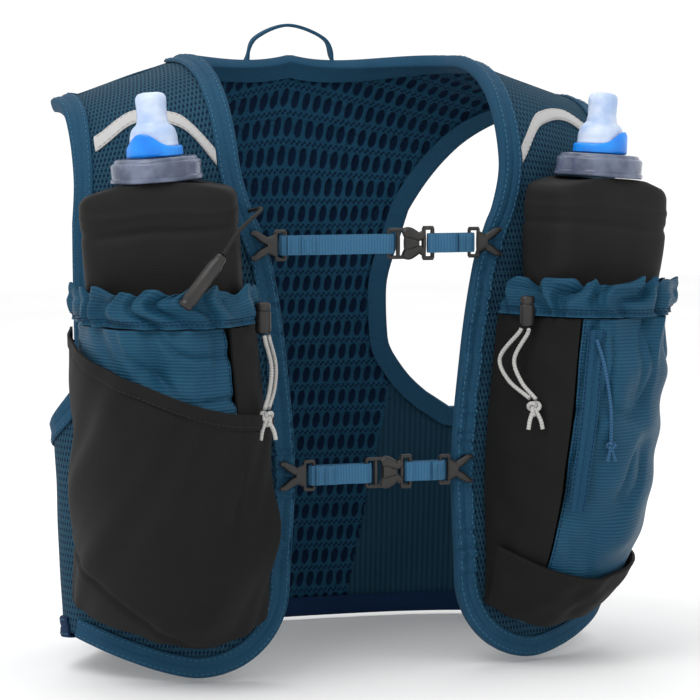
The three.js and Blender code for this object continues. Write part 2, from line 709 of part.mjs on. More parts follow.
const flaskRing = ({ along, width, depth }) =>
  countTo(FLASK_SIDES - 1).map((i) => {
    const [x, y] = squircle((2 * Math.PI * i) / FLASK_SIDES, FLASK_ROUND);
    const [halfWidth, halfDepth] = [(FLASK_WIDTH / 2) * width, (FLASK_DEPTH / 2) * depth];
    return new THREE.Vector3(halfWidth * x, halfDepth * y, FLASK_HEIGHT * along);
  });

const capFoot = FLASK_HEIGHT + RUN_GAP;
const capTop = capFoot + CAP_HEIGHT;
const stemTop = capTop + STEM_HEIGHT;
const cap = turned(
  [
    { radius: 0, height: capFoot },
    { radius: CAP_RADIUS, height: capFoot },
    { radius: CAP_RADIUS, height: lerp(capFoot, capTop, 0.75) },
    { radius: CAP_RADIUS - 1.5, height: lerp(capFoot, capTop, 0.82) },
    { radius: CAP_RADIUS - 2, height: capTop },
    { radius: STEM_RADIUS, height: capTop },
    { radius: STEM_RADIUS, height: stemTop },
    { radius: 0, height: stemTop },
  ],
  ROUND_SIDES,
);

// The valve: a collar with a thumb tab, and a soft nozzle over the spout.
const collarFoot = capTop + RUN_GAP;
const collarTop = collarFoot + VALVE_COLLAR_HEIGHT;
const boreRadius = STEM_RADIUS + RUN_GAP;
const collarRing = turned(
  [
    { radius: boreRadius, height: collarFoot },
    { radius: VALVE_RADIUS + 2, height: collarFoot },
    { radius: VALVE_RADIUS + 1, height: collarTop },
    { radius: boreRadius, height: collarTop },
  ],
  ROUND_SIDES,
  true,
);
const tabTall = TAB_HEIGHT + VALVE_COLLAR_HEIGHT - 1;
const tab = new THREE.BoxGeometry(TAB_WALL, TAB_WIDTH, tabTall);
tab.translate(VALVE_RADIUS + 1.4 + TAB_WALL / 2, 0, collarFoot + 0.5 + tabTall / 2);
const tabFoot = new THREE.BoxGeometry(TAB_WALL * 2, TAB_WIDTH, VALVE_COLLAR_HEIGHT - 2);
tabFoot.translate(VALVE_RADIUS + 0.5, 0, collarFoot + VALVE_COLLAR_HEIGHT / 2);
const valveCollar = joined(collarRing, tab, tabFoot);

const nozzleFoot = collarTop + RUN_GAP;
const NOZZLE_ROWS = [
  { up: 0, radius: VALVE_RADIUS - 0.9 },
  { up: 0.06, radius: VALVE_RADIUS },
  { up: 0.27, radius: VALVE_RADIUS - 0.5 },
  { up: 0.38, radius: lerp(VALVE_NECK_RADIUS, VALVE_RADIUS, 0.5) },
  { up: 0.46, radius: VALVE_NECK_RADIUS },
  { up: 0.9, radius: VALVE_NECK_RADIUS - 0.3 },
  { up: 0.97, radius: VALVE_NECK_RADIUS - 1.5 },
  { up: 1, radius: VALVE_NECK_RADIUS - 3.5 },
];
const nozzle = turned(
  [
    ...NOZZLE_ROWS.map(({ up, radius }) => ({ radius, height: nozzleFoot + NOZZLE_HEIGHT * up })),
    { radius: 0, height: nozzleFoot + NOZZLE_HEIGHT },
    { radius: 0, height: stemTop + RUN_GAP },
    { radius: boreRadius, height: stemTop + RUN_GAP },
    { radius: boreRadius, height: nozzleFoot },
  ],
  ROUND_SIDES,
  true,
);

// Moves a flask piece from the flask's frame to its seat in the left pocket.
function seated(geometry) {
  const seat = new THREE.Matrix4().makeTranslation(FLASK_OUT, -FLASK_FORWARD, FLASK_BOTTOM);
  seat.multiply(new THREE.Matrix4().makeRotationY(FLASK_LEAN_OUT));
  seat.multiply(new THREE.Matrix4().makeRotationX(-FLASK_LEAN_BACK));
  seat.multiply(new THREE.Matrix4().makeRotationZ(FLASK_TURN));
  return geometry.clone().applyMatrix4(seat);
}

const FLASK_PIECES = [
  { name: "flask_body", geometry: loft(FLASK_ROWS.map(flaskRing)), finish: BLACK_CLOTH },
  { name: "flask_cap", geometry: cap, finish: CLEAR },
  { name: "valve_collar", geometry: valveCollar, finish: BLUE_PLASTIC },
  { name: "valve_nozzle", geometry: nozzle, finish: SILICONE },
];
for (const { name, geometry, finish } of FLASK_PIECES) {
  const piece = seated(geometry);
  addPiece(`${name}_left`, piece, finish);
  addPiece(`${name}_right`, mirroredGeometry(piece), finish);
}

// Chest straps, in a frame with x along the strap, y out of the wearer's back and z up.
function box(from, to) {
  const size = to.map((value, i) => value - from[i]);
  const block = new THREE.BoxGeometry(...size);
  return block.translate(...to.map((value, i) => (value + from[i]) / 2));
}

// A plate with an outline in x and z, through the strap's thickness.
function plate(outline, thickness = HARD_WALL) {
  const shape = new THREE.Shape(outline.map(([x, z]) => new THREE.Vector2(x, z)));
  const slab = new THREE.ExtrudeGeometry(shape, { depth: thickness, bevelEnabled: false });
  return slab.rotateX(Math.PI / 2).translate(0, thickness / 2, 0);
}

const WEB_ARC_SIDES = 6;
const webInner = (BAR / 2) * Math.SQRT2 + SEAM_GAP;

// Webbing folded round the bars at its two ends.
function webbing(from, to) {
  const ring = (radius) => {
    const arc = (x, start) =>
      countTo(WEB_ARC_SIDES).map((i) => {
        const angle = start + (Math.PI * i) / WEB_ARC_SIDES;
        return [x + radius * Math.cos(angle), radius * Math.sin(angle)];
      });
    return [...arc(to, -Math.PI / 2), ...arc(from, Math.PI / 2)];
  };
  const tall = (points) =>
    points.map(([x, y]) => [-1, 1].map((side) => new THREE.Vector3(x, y, (side * WEB_WIDTH) / 2)));
  return wallBetween(tall(ring(webInner + WEB_WALL)), tall(ring(webInner)), { wrap: true });
}

const railHeight = WEB_WIDTH / 2 + 2 * SEAM_GAP;
const frameHalf = railHeight + RAIL;
const bar = (x) => box([x - BAR / 2, -BAR / 2, -frameHalf], [x + BAR / 2, BAR / 2, frameHalf]);
const webRoom = webInner + WEB_WALL + 2 * SEAM_GAP;
const halfWall = HARD_WALL / 2;

// Two rails with a bar between them, from x to x + length.
const bridge = (x, length, barAt) =>
  joined(
    box([x, -halfWall, railHeight], [x + length, halfWall, frameHalf]),
    box([x, -halfWall, -frameHalf], [x + length, halfWall, -railHeight]),
    bar(barAt),
  );

// A hook clip: the bar's frame, a body, and two prongs over the panel's edge. It points to -x.
function clip(barAt) {
  const back = barAt - webRoom;
  const front = barAt + BAR / 2 - CLIP_LENGTH;
  const half = CLIP_HEIGHT / 2;
  const body = plate([
    [back, -frameHalf],
    [back, frameHalf],
    [lerp(back, front, 0.4), 0.6 * frameHalf],
    [lerp(back, front, 0.55), half],
    [front, half],
    [front + 1, half - RAIL],
    [lerp(back, front, 0.62), 0.3 * half],
    [lerp(back, front, 0.62), -0.3 * half],
    [front + 1, RAIL - half],
    [front, -half],
    [lerp(back, front, 0.55), -half],
    [lerp(back, front, 0.4), -0.6 * frameHalf],
  ]);
  return joined(body, bridge(back - RAIL, barAt + BAR / 2 - back + RAIL, barAt));
}

// The buckle's two halves meet at x. The prongs of one end in the socket of the other.
function prongs(x) {
  const foot = x - RUN_GAP;
  const barAt = foot - FRAME_LENGTH + BAR / 2;
  const body = box([barAt + webRoom, -halfWall, -frameHalf], [foot, halfWall, frameHalf]);
  const reach = foot + PRONG_LENGTH;
  const arm = (side) => {
    const levels = [side * 2.4, side * (frameHalf - 2 * SEAM_GAP)].sort((a, b) => a - b);
    return box([foot - 1, -BAR / 2, levels[0]], [reach, BAR / 2, levels[1]]);
  };
  return { barAt, geometry: joined(body, arm(1), arm(-1), bridge(barAt - BAR / 2, FRAME_LENGTH, barAt)) };
}

function socket(x) {
  const end = x + SOCKET_LENGTH;
  const half = SOCKET_HEIGHT / 2;
  const outer = plate(
    [
      [x, -half],
      [end, -frameHalf],
      [end, frameHalf],
      [x, half],
    ],
    HARD_WALL + 2,
  );
  const deep = BAR / 2 + RUN_GAP;
  const hollow = box([x - 1, -deep, SOCKET_WALL - half], [x + PRONG_LENGTH + 1, deep, half - SOCKET_WALL]);
  const barAt = end + webRoom;
  const shell = cut(outer, hollow);
  return { barAt, geometry: joined(shell, bridge(end - 1, webRoom + 1 + BAR / 2, barAt)) };
}

const STRAPS = [
  { name: "upper", height: UPPER_STRAP_HEIGHT, buckle: UPPER_BUCKLE_PLACE },
  { name: "lower", height: LOWER_STRAP_HEIGHT, buckle: LOWER_BUCKLE_PLACE },
];
for (const { name, height, buckle } of STRAPS) {
  const level = height / SPRING_HEIGHT;
  const edge = frontEdge(level, "middle");
  const face = onBody({ angle: frontAngle(edge, level), level }, PANEL_WALL + TAPE_SLOT + TAPE_WALL);
  const place = new THREE.Group();
  place.position.set(0, face.y - SEAM_GAP - halfWall, height);
  vest.add(place);
  const clipBar = edge + CLIP_OVER_EDGE - CLIP_LENGTH;
  const male = prongs(buckle);
  const female = socket(buckle);
  addPiece(`${name}_clip_right`, clip(-clipBar), BLACK_PLASTIC, place);
  addPiece(`${name}_web_right`, webbing(-clipBar, male.barAt), WEBBING, place);
  addPiece(`${name}_buckle_prongs`, male.geometry, BLACK_PLASTIC, place);
  addPiece(`${name}_buckle_socket`, female.geometry, BLACK_PLASTIC, place);
  addPiece(`${name}_web_left`, webbing(female.barAt, clipBar), WEBBING, place);
  addPiece(`${name}_clip_left`, mirroredGeometry(clip(-clipBar)), BLACK_PLASTIC, place);
}

// Points along a smooth curve through these.
const curve = (points, parts) => new THREE.CatmullRomCurve3(points).getPoints(parts);

// A bar of a given section along a path. side is the direction of the section's first axis.
function swept(path, section, side) {
  const rings = path.map((point, i) => {
    const along = path[Math.min(i + 1, path.length - 1)].clone().sub(path[Math.max(i - 1, 0)]).normalize();
    const across = new THREE.Vector3().crossVectors(along, side).normalize();
    const first = new THREE.Vector3().crossVectors(across, along);
    return section.map(([a, b]) => point.clone().addScaledVector(first, a).addScaledVector(across, b));
  });
  return loft(rings);
}

const roundSection = (radius, sides) =>
  countTo(sides - 1).map((i) => {
    const angle = (2 * Math.PI * i) / sides;
    return [radius * Math.cos(angle), radius * Math.sin(angle)];
  });
const flatSection = (width, wall) => [
  [-width / 2, -wall / 2],
  [width / 2, -wall / 2],
  [width / 2, wall / 2],
  [-width / 2, wall / 2],
];
const FORWARD = new THREE.Vector3(0, -1, 0);
const UPWARD = new THREE.Vector3(0, 0, 1);
const CORD_SIDES = 6;

// Hang loop, standing on the back of the collar.
const loopLevel = collarLevel(LOOP_SPAN / 2);
const loopBase = { angle: backAngle(LOOP_SPAN / 2, loopLevel), level: loopLevel };
const loopLift = PANEL_WALL + TAPE_SLOT + TAPE_WALL + 2 * SEAM_GAP + LOOP_WALL / 2;
const belowCollar = bodyAxes(loopBase.angle, loopBase.level).up.setLength(-TAPE_WIDTH);
const loopFoot = onBody(stepped(loopBase, belowCollar), loopLift);
const loopKnee = onBody(loopBase, loopLift + SEAM_GAP);
const collarMiddle = onBody({ angle: 0, level: collarLevel(0) }, loopLift);
const loopPath = curve(
  [
    loopFoot,
    loopKnee,
    new THREE.Vector3(0.8 * loopKnee.x, loopKnee.y, lerp(loopKnee.z, collarMiddle.z + LOOP_RISE, 0.62)),
    new THREE.Vector3(0, collarMiddle.y, collarMiddle.z + LOOP_RISE),
  ],
  8,
);
const loopWhole = [...loopPath, ...loopPath.slice(0, -1).reverse().map(mirrored)];
addPiece("hang_loop", swept(loopWhole, flatSection(LOOP_WALL, LOOP_WIDTH), FORWARD), TAPE);

// Reflective strips over the front of the shoulders.
const REFLECTOR_ROWS = [
  { share: 0.13, level: 1.26 },
  { share: 0.35, level: 1.44 },
  { share: 0.6, level: 1.5 },
  { share: 0.88, level: 1.4 },
];
const reflectorGrid = (outward) =>
  spread(0.13, 0.88, 8).map((share) => {
    const middle = fromTable(REFLECTOR_ROWS, share, "share", "level");
    return [-0.5, 0.5].map((side) => {
      const x = lerp(frontEdge(middle, "middle"), frontEdge(middle, "arm"), share);
      const place = { angle: frontAngle(x, middle), level: middle };
      const up = bodyAxes(place.angle, place.level).up.setLength(side * REFLECTOR_WIDTH);
      return onBody(stepped(place, up), outward);
    });
  });
const reflectorLift = PANEL_WALL + 2 * SEAM_GAP;
const reflector = wallBetween(reflectorGrid(reflectorLift + REFLECTOR_WALL), reflectorGrid(reflectorLift));
addPiece("reflector_left", reflector, SILVER);
addPiece("reflector_right", mirroredGeometry(reflector), SILVER);

// Drawcords of the pockets, each a doubled cord from its lock down to a knot.
const DRAWCORD_ROWS = [
  { up: 0.96, round: 0.47, off: 6 },
  { up: 0.945, round: 0.46, off: 6 },
  { up: 0.86, round: 0.34, off: 6.5 },
  { up: 0.79, round: 0.42, off: 5.5 },
  { up: 0.74, round: 0.58, off: 4.6 },
];
const STRAND_APART = CORD_DIAMETER + SEAM_GAP;
const cordPoint = ({ up, round, off }, more = 0) => onPocket(round, up, off + more);

const strand = (more) => {
  const path = curve(DRAWCORD_ROWS.map((row) => cordPoint(row, more)), 10);
  return swept(path, roundSection(CORD_DIAMETER / 2, CORD_SIDES), UPWARD);
};
const lastCord = cordPoint(DRAWCORD_ROWS[DRAWCORD_ROWS.length - 1], STRAND_APART / 2);
const knotHalf = 1.25 * KNOT_RADIUS;
const knotPlace = lastCord.clone().addScaledVector(UPWARD, -knotHalf - SEAM_GAP);
knotPlace.addScaledVector(facing, CORD_DIAMETER / 2);
const knotBall = turned(
  spread(-90, 90, 4).map((turn) => ({
    radius: Math.abs(turn) === 90 ? 0 : KNOT_RADIUS * Math.cos(degToRad(turn)),
    height: knotHalf * Math.sin(degToRad(turn)),
  })),
  8,
).translate(...knotPlace.toArray());
const tail = (side) => {
  const foot = knotPlace.clone().add(new THREE.Vector3(side * TAIL_SPREAD, -CORD_DIAMETER, -TAIL_LENGTH));
  return swept([knotPlace, foot], roundSection(CORD_DIAMETER / 2, CORD_SIDES), FORWARD);
};
const lockPlace = cordPoint({ ...DRAWCORD_ROWS[0], off: LOCK_RADIUS + RUFFLE_SWING + SEAM_GAP });
const lock = turned(
  [
    { radius: 0, height: 0 },
    { radius: LOCK_RADIUS - 1, height: 0 },
    { radius: LOCK_RADIUS, height: 1 },
    { radius: LOCK_RADIUS, height: LOCK_HEIGHT - 1 },
    { radius: LOCK_RADIUS - 1, height: LOCK_HEIGHT },
    { radius: 0, height: LOCK_HEIGHT },
  ],
  12,
).translate(lockPlace.x, lockPlace.y, lockPlace.z + CORD_DIAMETER / 2);
const DRAWCORD_PIECES = [
  { name: "drawcord_outer", geometry: strand(STRAND_APART), finish: GREY_CORD },
  { name: "drawcord_inner", geometry: strand(0), finish: GREY_CORD },
  { name: "drawcord_knot", geometry: joined(knotBall, tail(1), tail(-1)), finish: GREY_CORD },
  { name: "cord_lock", geometry: lock, finish: BLACK_PLASTIC },
];
for (const { name, geometry, finish } of DRAWCORD_PIECES) {
  addPiece(`${name}_left`, geometry, finish);
  addPiece(`${name}_right`, mirroredGeometry(geometry), finish);
}

// Whistle, hung by its cord from the right panel's edge, in front of the flask.
const WHISTLE_TOP = new THREE.Vector3(-103, -160, UPPER_STRAP_HEIGHT - 1);
const WHISTLE_DOWN = new THREE.Vector3(-0.62, 0.02, -0.8).normalize();
const WHISTLE_CORD_BEND = new THREE.Vector3(10, 4, 12);
const WHISTLE_CORD_RISE = new THREE.Vector3(29, 30, 21);
const whistle = turned(
  [
    { radius: 0, height: 0 },
    { radius: WHISTLE_RADIUS - 1.2, height: 0 },
    { radius: WHISTLE_RADIUS, height: 0.2 * WHISTLE_LENGTH },
    { radius: WHISTLE_RADIUS, height: 0.92 * WHISTLE_LENGTH },
    { radius: WHISTLE_RADIUS - 0.8, height: WHISTLE_LENGTH },
    { radius: 0, height: WHISTLE_LENGTH },
  ],
  12,
);
whistle.applyQuaternion(new THREE.Quaternion().setFromUnitVectors(UPWARD, WHISTLE_DOWN));
addPiece("whistle", whistle.translate(...WHISTLE_TOP.toArray()), BLACK_PLASTIC);
const whistleHang = frontPlaceAt(WHISTLE_HANG / SPRING_HEIGHT);
const whistleSeat = onBody(whistleHang, PANEL_WALL + TAPE_SLOT + SEAM_GAP + PULL_DIAMETER / 2);
const whistleCordPath = curve(
  [
    WHISTLE_TOP.clone().addScaledVector(WHISTLE_DOWN, -2 * SEAM_GAP),
    WHISTLE_TOP.clone().add(WHISTLE_CORD_BEND),
    WHISTLE_TOP.clone().add(WHISTLE_CORD_RISE),
    mirrored(whistleSeat),
  ],
  9,
);
const whistleCord = swept(whistleCordPath, roundSection(PULL_DIAMETER / 2, CORD_SIDES), UPWARD);
addPiece("whistle_cord", whistleCord, BLACK_CLOTH);

// Pull cord of the pocket's zip.
const ZIP_PULL_ROWS = [
  { up: 0.94, round: 1.03, off: 3.2 },
  { up: 0.86, round: 1.12, off: 3.4 },
  { up: 0.74, round: 1.22, off: 2 },
  { up: 0.62, round: 1.28, off: 1.6 },
];
const pullPath = curve(ZIP_PULL_ROWS.map((row) => cordPoint(row)), 8);
const pull = swept(pullPath, roundSection(PULL_DIAMETER / 2, CORD_SIDES), FORWARD);
addPiece("zip_pull", pull, TAPE);

export default vest;
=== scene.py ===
"""Looks of a running hydration vest: meshed panels, gathered pockets, soft flasks, straps and cords.

Lengths are in metres. The wearer faces -Y, so the wearer's left is at +X, and the origin lies midway
between the shoulders.
"""

import logging
import math
from collections.abc import Callable, Sequence
from dataclasses import dataclass, field, replace
from enum import Enum

import bpy
import numpy as np
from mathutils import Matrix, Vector

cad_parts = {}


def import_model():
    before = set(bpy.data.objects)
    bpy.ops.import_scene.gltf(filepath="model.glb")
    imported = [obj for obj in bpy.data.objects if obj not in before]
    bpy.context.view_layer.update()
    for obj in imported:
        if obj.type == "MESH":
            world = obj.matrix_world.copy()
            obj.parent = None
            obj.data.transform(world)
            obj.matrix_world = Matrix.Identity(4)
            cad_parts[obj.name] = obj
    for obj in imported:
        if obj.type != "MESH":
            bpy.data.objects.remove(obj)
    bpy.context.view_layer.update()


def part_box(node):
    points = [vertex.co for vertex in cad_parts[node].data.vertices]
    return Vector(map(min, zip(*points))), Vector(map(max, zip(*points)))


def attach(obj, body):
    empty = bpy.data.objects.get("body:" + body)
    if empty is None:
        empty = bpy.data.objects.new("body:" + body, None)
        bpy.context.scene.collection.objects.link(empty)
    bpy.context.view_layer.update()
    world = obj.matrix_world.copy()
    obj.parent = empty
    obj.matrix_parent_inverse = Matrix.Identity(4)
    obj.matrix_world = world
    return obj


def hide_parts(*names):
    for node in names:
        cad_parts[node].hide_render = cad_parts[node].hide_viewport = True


log = logging.getLogger("vest")

Array = np.ndarray
HOLE_PITCH = 0.0062
HOLE_ROW_PITCH = 0.0133
STRIPE_PITCH = 0.0032


def lerp(a, b, share):
    """Value between a and b at a share of the way."""
    return a + (b - a) * share


def smooth_step(low: float, high: float, value: Array) -> Array:
    """0 below low, 1 above high, and a smooth rise between them."""
    share = np.clip((value - low) / (high - low), 0, 1)
    return share * share * (3 - 2 * share)


def smooth_table(rows: Sequence[tuple[float, ...]], place: Array, column: int = 1) -> Array:
    """Reads a table's column along a smooth curve through its rows.

    Args:
        rows: Rows of (place, value, ...), sorted by place.
        place: Where to read.
        column: Which column to read.

    Returns:
        The values, as many as there are places.
    """
    x = np.array([row[0] for row in rows], float)
    y = np.array([row[column] for row in rows], float)
    slope = np.diff(y) / np.diff(x)
    before, after = slope[:-1], slope[1:]
    same = before * after > 0
    bend = np.where(same, 2 * before * after / np.where(same, before + after, 1), 0)
    tangent = np.concatenate([[slope[0]], bend, [slope[-1]]])
    at = np.clip(np.asarray(place, float), x[0], x[-1])
    i = np.clip(np.searchsorted(x, at, side="right") - 1, 0, len(x) - 2)
    width = x[i + 1] - x[i]
    t = (at - x[i]) / width
    low = (1 + 2 * t) * (1 - t) ** 2 * y[i] + t * t * (3 - 2 * t) * y[i + 1]
    return low + (t * (1 - t) ** 2 * tangent[i] + t * t * (t - 1) * tangent[i + 1]) * width


def squircle(angle: Array, power: float) -> tuple[Array, Array]:
    """Point of a unit square with rounded sides, at an angle from its first axis."""
    c, s = np.cos(angle), np.sin(angle)
    size = (np.abs(c) ** power + np.abs(s) ** power) ** (-1 / power)
    return c * size, s * size


def angle_across(share: Array, power: float) -> Array:
    """Angle of the squircle's point at this share along its second axis."""
    share = np.clip(share, 0, 1)
    return np.arctan2(share, np.maximum(1 - share**power, 0) ** (1 / power))


def unit(vectors: Array) -> Array:
    """The vectors at length 1."""
    return vectors / np.maximum(np.linalg.norm(vectors, axis=-1, keepdims=True), 1e-12)


def noise(x: Array, y: Array, seed: int) -> Array:
    """Smooth two-way noise between about -1 and 1, one bump per unit, the same on each run."""
    rng = np.random.default_rng(seed)
    total = np.zeros(np.broadcast(x, y).shape)
    for _ in range(7):
        fx, fy = rng.uniform(-6.3, 6.3, 2)
        total = total + np.sin(fx * x + fy * y + rng.uniform(0, 6.3))
    return total / 3.2


@dataclass(frozen=True)
class WornForm:
    """The rounded chest that the vest is shaped round, with an arch over the shoulders.

    A place on it is an angle, from 0 at the middle of the back to pi at the middle of the front, and
    a level, from 0 at the hem by 1 where the arch starts to 2 on the shoulder.
    """

    chest_half: float = 0.163
    waist_half: float = 0.153
    chest_front: float = 0.092
    waist_front: float = 0.088
    chest_back: float = 0.070
    waist_back: float = 0.072
    spring_height: float = 0.235
    neck_half: float = 0.076
    neck_ridge: float = 0.318
    strap_half: float = 0.148
    arm_ridge: float = 0.294
    section_power: float = 2.8
    arch_power: float = 2.5
    collar_back: float = 0.051
    slack_left: float = 0.003
    slack_right: float = 0.034
    slack_angle: float = 1.22
    slack_spread: float = 0.46
    slack_levels: tuple[float, float] = (0.6, 1.0)
    slack_front: tuple[float, float] = (1.7, 2.1)

    @property
    def seat(self) -> float:
        """Height of the origin over the hem."""
        return (self.neck_ridge + self.arm_ridge) / 2

    def point(self, angle: Array, level: Array) -> Array:
        """Points of the form.

        Args:
            angle: Angles of the places.
            level: Levels of the places.

        Returns:
            Points, with x, y and z along the last axis.
        """
        angle, level = np.broadcast_arrays(np.asarray(angle, float), np.asarray(level, float))
        wall = np.minimum(level, 1)
        arch = np.maximum(level - 1, 0) * math.pi / 2
        front = lerp(self.waist_front, self.chest_front, wall)
        back = lerp(self.waist_back, self.chest_back, wall)
        depth = np.where(np.abs(angle) > math.pi / 2, front, back)
        behind, across = squircle(angle, self.section_power)
        inwards, upwards = squircle(arch, self.arch_power)
        x = self.half(level) * across - np.sign(across) * self._pull(angle, level)
        slope = (self.neck_ridge - self.arm_ridge) / (self.strap_half - self.neck_half)
        rise = self.neck_ridge - self.spring_height - slope * (np.abs(x) - self.neck_half)
        z = wall * self.spring_height + rise * upwards - self.seat
        return np.stack([x, depth * behind * inwards, z], axis=-1)

    def _pull(self, angle: Array, level: Array) -> Array:
        """How far a flank falls inwards, most at its middle and not at all at the front or the top.

        Args:
            angle: Angles of the places.
            level: Levels of the places.

        Returns:
            Lengths towards the middle.
        """
        middle = np.exp(-(((np.abs(angle) - self.slack_angle) / self.slack_spread) ** 2))
        below = 1 - smooth_step(*self.slack_levels, level)
        behind = 1 - smooth_step(*self.slack_front, np.abs(angle))
        return middle * below * behind * np.where(angle < 0, self.slack_right, self.slack_left)

    def sided(self, right: bool) -> "WornForm":
        """The form for pieces made on the left, which are mirrored if they belong on the right."""
        return replace(self, slack_left=self.slack_right) if right else self

    def out(self, angle: Array, level: Array) -> Array:
        """Unit directions out of the form."""
        step = 1e-3
        around = self.point(angle + step, level) - self.point(angle - step, level)
        up = self.point(angle, level + step) - self.point(angle, level - step)
        return unit(np.cross(up, around))

    def lifted(self, angle: Array, level: Array, lift: Array) -> Array:
        """Points moved out of the form by a lift."""
        return self.point(angle, level) + self.out(angle, level) * np.asarray(lift)[..., None]

    def half(self, level: Array) -> Array:
        """Half the form's width at a level."""
        return lerp(self.waist_half, self.chest_half, np.minimum(level, 1))

    def back_angle(self, x: Array, level: Array) -> Array:
        """Angle on the back that lies this far from the middle."""
        return angle_across(x / self.half(level), self.section_power)

    def front_angle(self, x: Array, level: Array) -> Array:
        """Angle on the front that lies this far from the middle."""
        return math.pi - self.back_angle(x, level)

    def flat(self, angle: Array, level: Array) -> tuple[Array, Array]:
        """Lengths along the cloth, round the form and up it, for patterns."""
        turns = np.linspace(0, math.pi, 721)
        rim = self.point(turns, 0.6)
        run = np.concatenate([[0], np.cumsum(np.linalg.norm(np.diff(rim, axis=0), axis=-1))])
        u = np.interp(np.abs(angle), turns, run) * np.sign(angle)
        levels = np.linspace(0, 2, 401)
        side = self.point(0.45, levels)
        climb = np.concatenate([[0], np.cumsum(np.linalg.norm(np.diff(side, axis=0), axis=-1))])
        return u, np.interp(level, levels, climb)

    def collar_level(self, x: Array) -> Array:
        """Level at which the collar crosses the form, this far from the middle."""
        behind = self.collar_back * np.sqrt(np.maximum(1 - (x / self.neck_half) ** 2, 0))
        full = self.chest_back * squircle(self.back_angle(x, 2.0), self.section_power)[0]
        share = np.clip(behind / full, 0, 1)
        return 1 + (2 / math.pi) * (math.pi / 2 - angle_across(share, self.arch_power))


def mirrored(points: Array) -> Array:
    """The points on the other side of the middle plane."""
    return points * np.array([-1.0, 1.0, 1.0])


@dataclass
class MeshMaker:
    """Collects faces, with places on the cloth and a finish for each, and makes one object of them."""

    points: list[Array] = field(default_factory=list)
    faces: list[Array] = field(default_factory=list)
    coords: list[Array] = field(default_factory=list)
    finishes: list[Array] = field(default_factory=list)
    count: int = 0

    def add(self, points: Array, faces: Array, coords: Array, finish: int | Array = 0) -> None:
        """Adds quads, four corners each, that share their points and cloth places."""
        self.points.append(points.reshape(-1, 3))
        self.faces.append(faces.reshape(-1, 4) + self.count)
        self.coords.append(coords.reshape(-1, 2))
        self.finishes.append(np.broadcast_to(finish, len(faces.reshape(-1, 4))))
        self.count += len(self.points[-1])

    def add_grid(self, points: Array, coords: Array, finish: int | Array = 0, turn: bool = False) -> None:
        """Adds the quads of a grid of points.

        Args:
            points: Grid of points.
            coords: Grid of lengths along the cloth.
            finish: Which of the object's materials it shows, for all faces or for each.
            turn: Whether the faces look the other way.
        """
        rows, columns = points.shape[:2]
        index = np.arange(rows * columns).reshape(rows, columns)
        corners = [index[:-1, :-1], index[:-1, 1:], index[1:, 1:], index[1:, :-1]]
        if turn:
            corners.reverse()
        self.add(points, np.stack(corners, axis=-1), coords, finish)

    def add_shell(self, outer: Array, inner: Array, coords: Array, finishes=(0, 0), wrap=False) -> None:
        """Adds a closed wall between two grids.

        Args:
            outer: Grid that faces out.
            inner: Grid that faces in.
            coords: Grid of lengths along the cloth.
            finishes: Materials of the outer and the inner face.
            wrap: Whether the last row meets the first.
        """
        turn = self._looks_in(outer, inner)
        if wrap:
            outer, inner = (np.concatenate([grid, grid[:1]]) for grid in (outer, inner))
            step = coords[-1:] + (coords[-1:] - coords[-2:-1])
            coords = np.concatenate([coords, step])
        self.add_grid(outer, coords, finishes[0], turn)
        self.add_grid(inner, coords, finishes[1], not turn)
        rims = [(np.s_[:, 0], True), (np.s_[:, -1], False)]
        if not wrap:
            rims += [(np.s_[0], False), (np.s_[-1], True)]
        for rim, flip in rims:
            side = np.stack([outer[rim], inner[rim]], axis=1)
            self.add_grid(side, np.stack([coords[rim]] * 2, axis=1), finishes[0], flip == turn)

    @staticmethod
    def _looks_in(outer: Array, inner: Array) -> bool:
        """Whether a grid's own winding faces the other grid."""
        r, c = outer.shape[0] // 2, outer.shape[1] // 2
        r, c = min(r, outer.shape[0] - 2), min(c, outer.shape[1] - 2)
        normal = np.cross(outer[r, c + 1] - outer[r, c], outer[r + 1, c] - outer[r, c])
        return float(normal @ (outer[r, c] - inner[r, c])) < 0

    def build(self, name: str, materials: Sequence[bpy.types.Material], body: str = "vest"):
        """Makes the object.

        Args:
            name: The object's name.
            materials: Its materials, in the order of the finishes.
            body: The moving body that it rides on.

        Returns:
            The object.
        """
        points = np.concatenate(self.points)
        faces = np.concatenate(self.faces)
        _, first, merged = np.unique(np.round(points, 6), axis=0, return_index=True, return_inverse=True)
        corners = merged.reshape(-1)[faces]
        keep = corners != np.roll(corners, 1, axis=1)
        keep[(corners[:, 0] == corners[:, 2]) | (corners[:, 1] == corners[:, 3])] = False
        solid = keep.sum(axis=1) >= 3
        corners, faces, keep = corners[solid], faces[solid], keep[solid]
        mesh = bpy.data.meshes.new(name)
        polygons = [face[used].tolist() for face, used in zip(corners, keep)]
        mesh.from_pydata(points[first].tolist(), [], polygons)
        for material in materials:
            mesh.materials.append(material)
        layer = mesh.uv_layers.new(name="cloth")
        layer.data.foreach_set("uv", np.concatenate(self.coords)[faces[keep]].reshape(-1).astype(np.float32))
        mesh.polygons.foreach_set("material_index", np.concatenate(self.finishes)[solid].astype(np.int32))
        mesh.polygons.foreach_set("use_smooth", np.ones(len(corners), dtype=bool))
        mesh.validate()
        mesh.update()
        mesh.set_sharp_from_angle(angle=math.radians(50))
        made = bpy.data.objects.new(name, mesh)
        bpy.context.scene.collection.objects.link(made)
        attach(made, body)
        return made


def cloth_coords(points: Array) -> Array:
    """Lengths along a grid of points, across its rows and up its columns."""
    across = np.linalg.norm(np.diff(points, axis=1), axis=-1)
    u = np.concatenate([np.zeros((len(points), 1)), np.cumsum(across, axis=1)], axis=1)
    up = np.linalg.norm(np.diff(points, axis=0), axis=-1).mean(axis=1)
    v = np.concatenate([[0], np.cumsum(up)])
    return np.stack([u, np.broadcast_to(v[:, None], u.shape)], axis=-1)


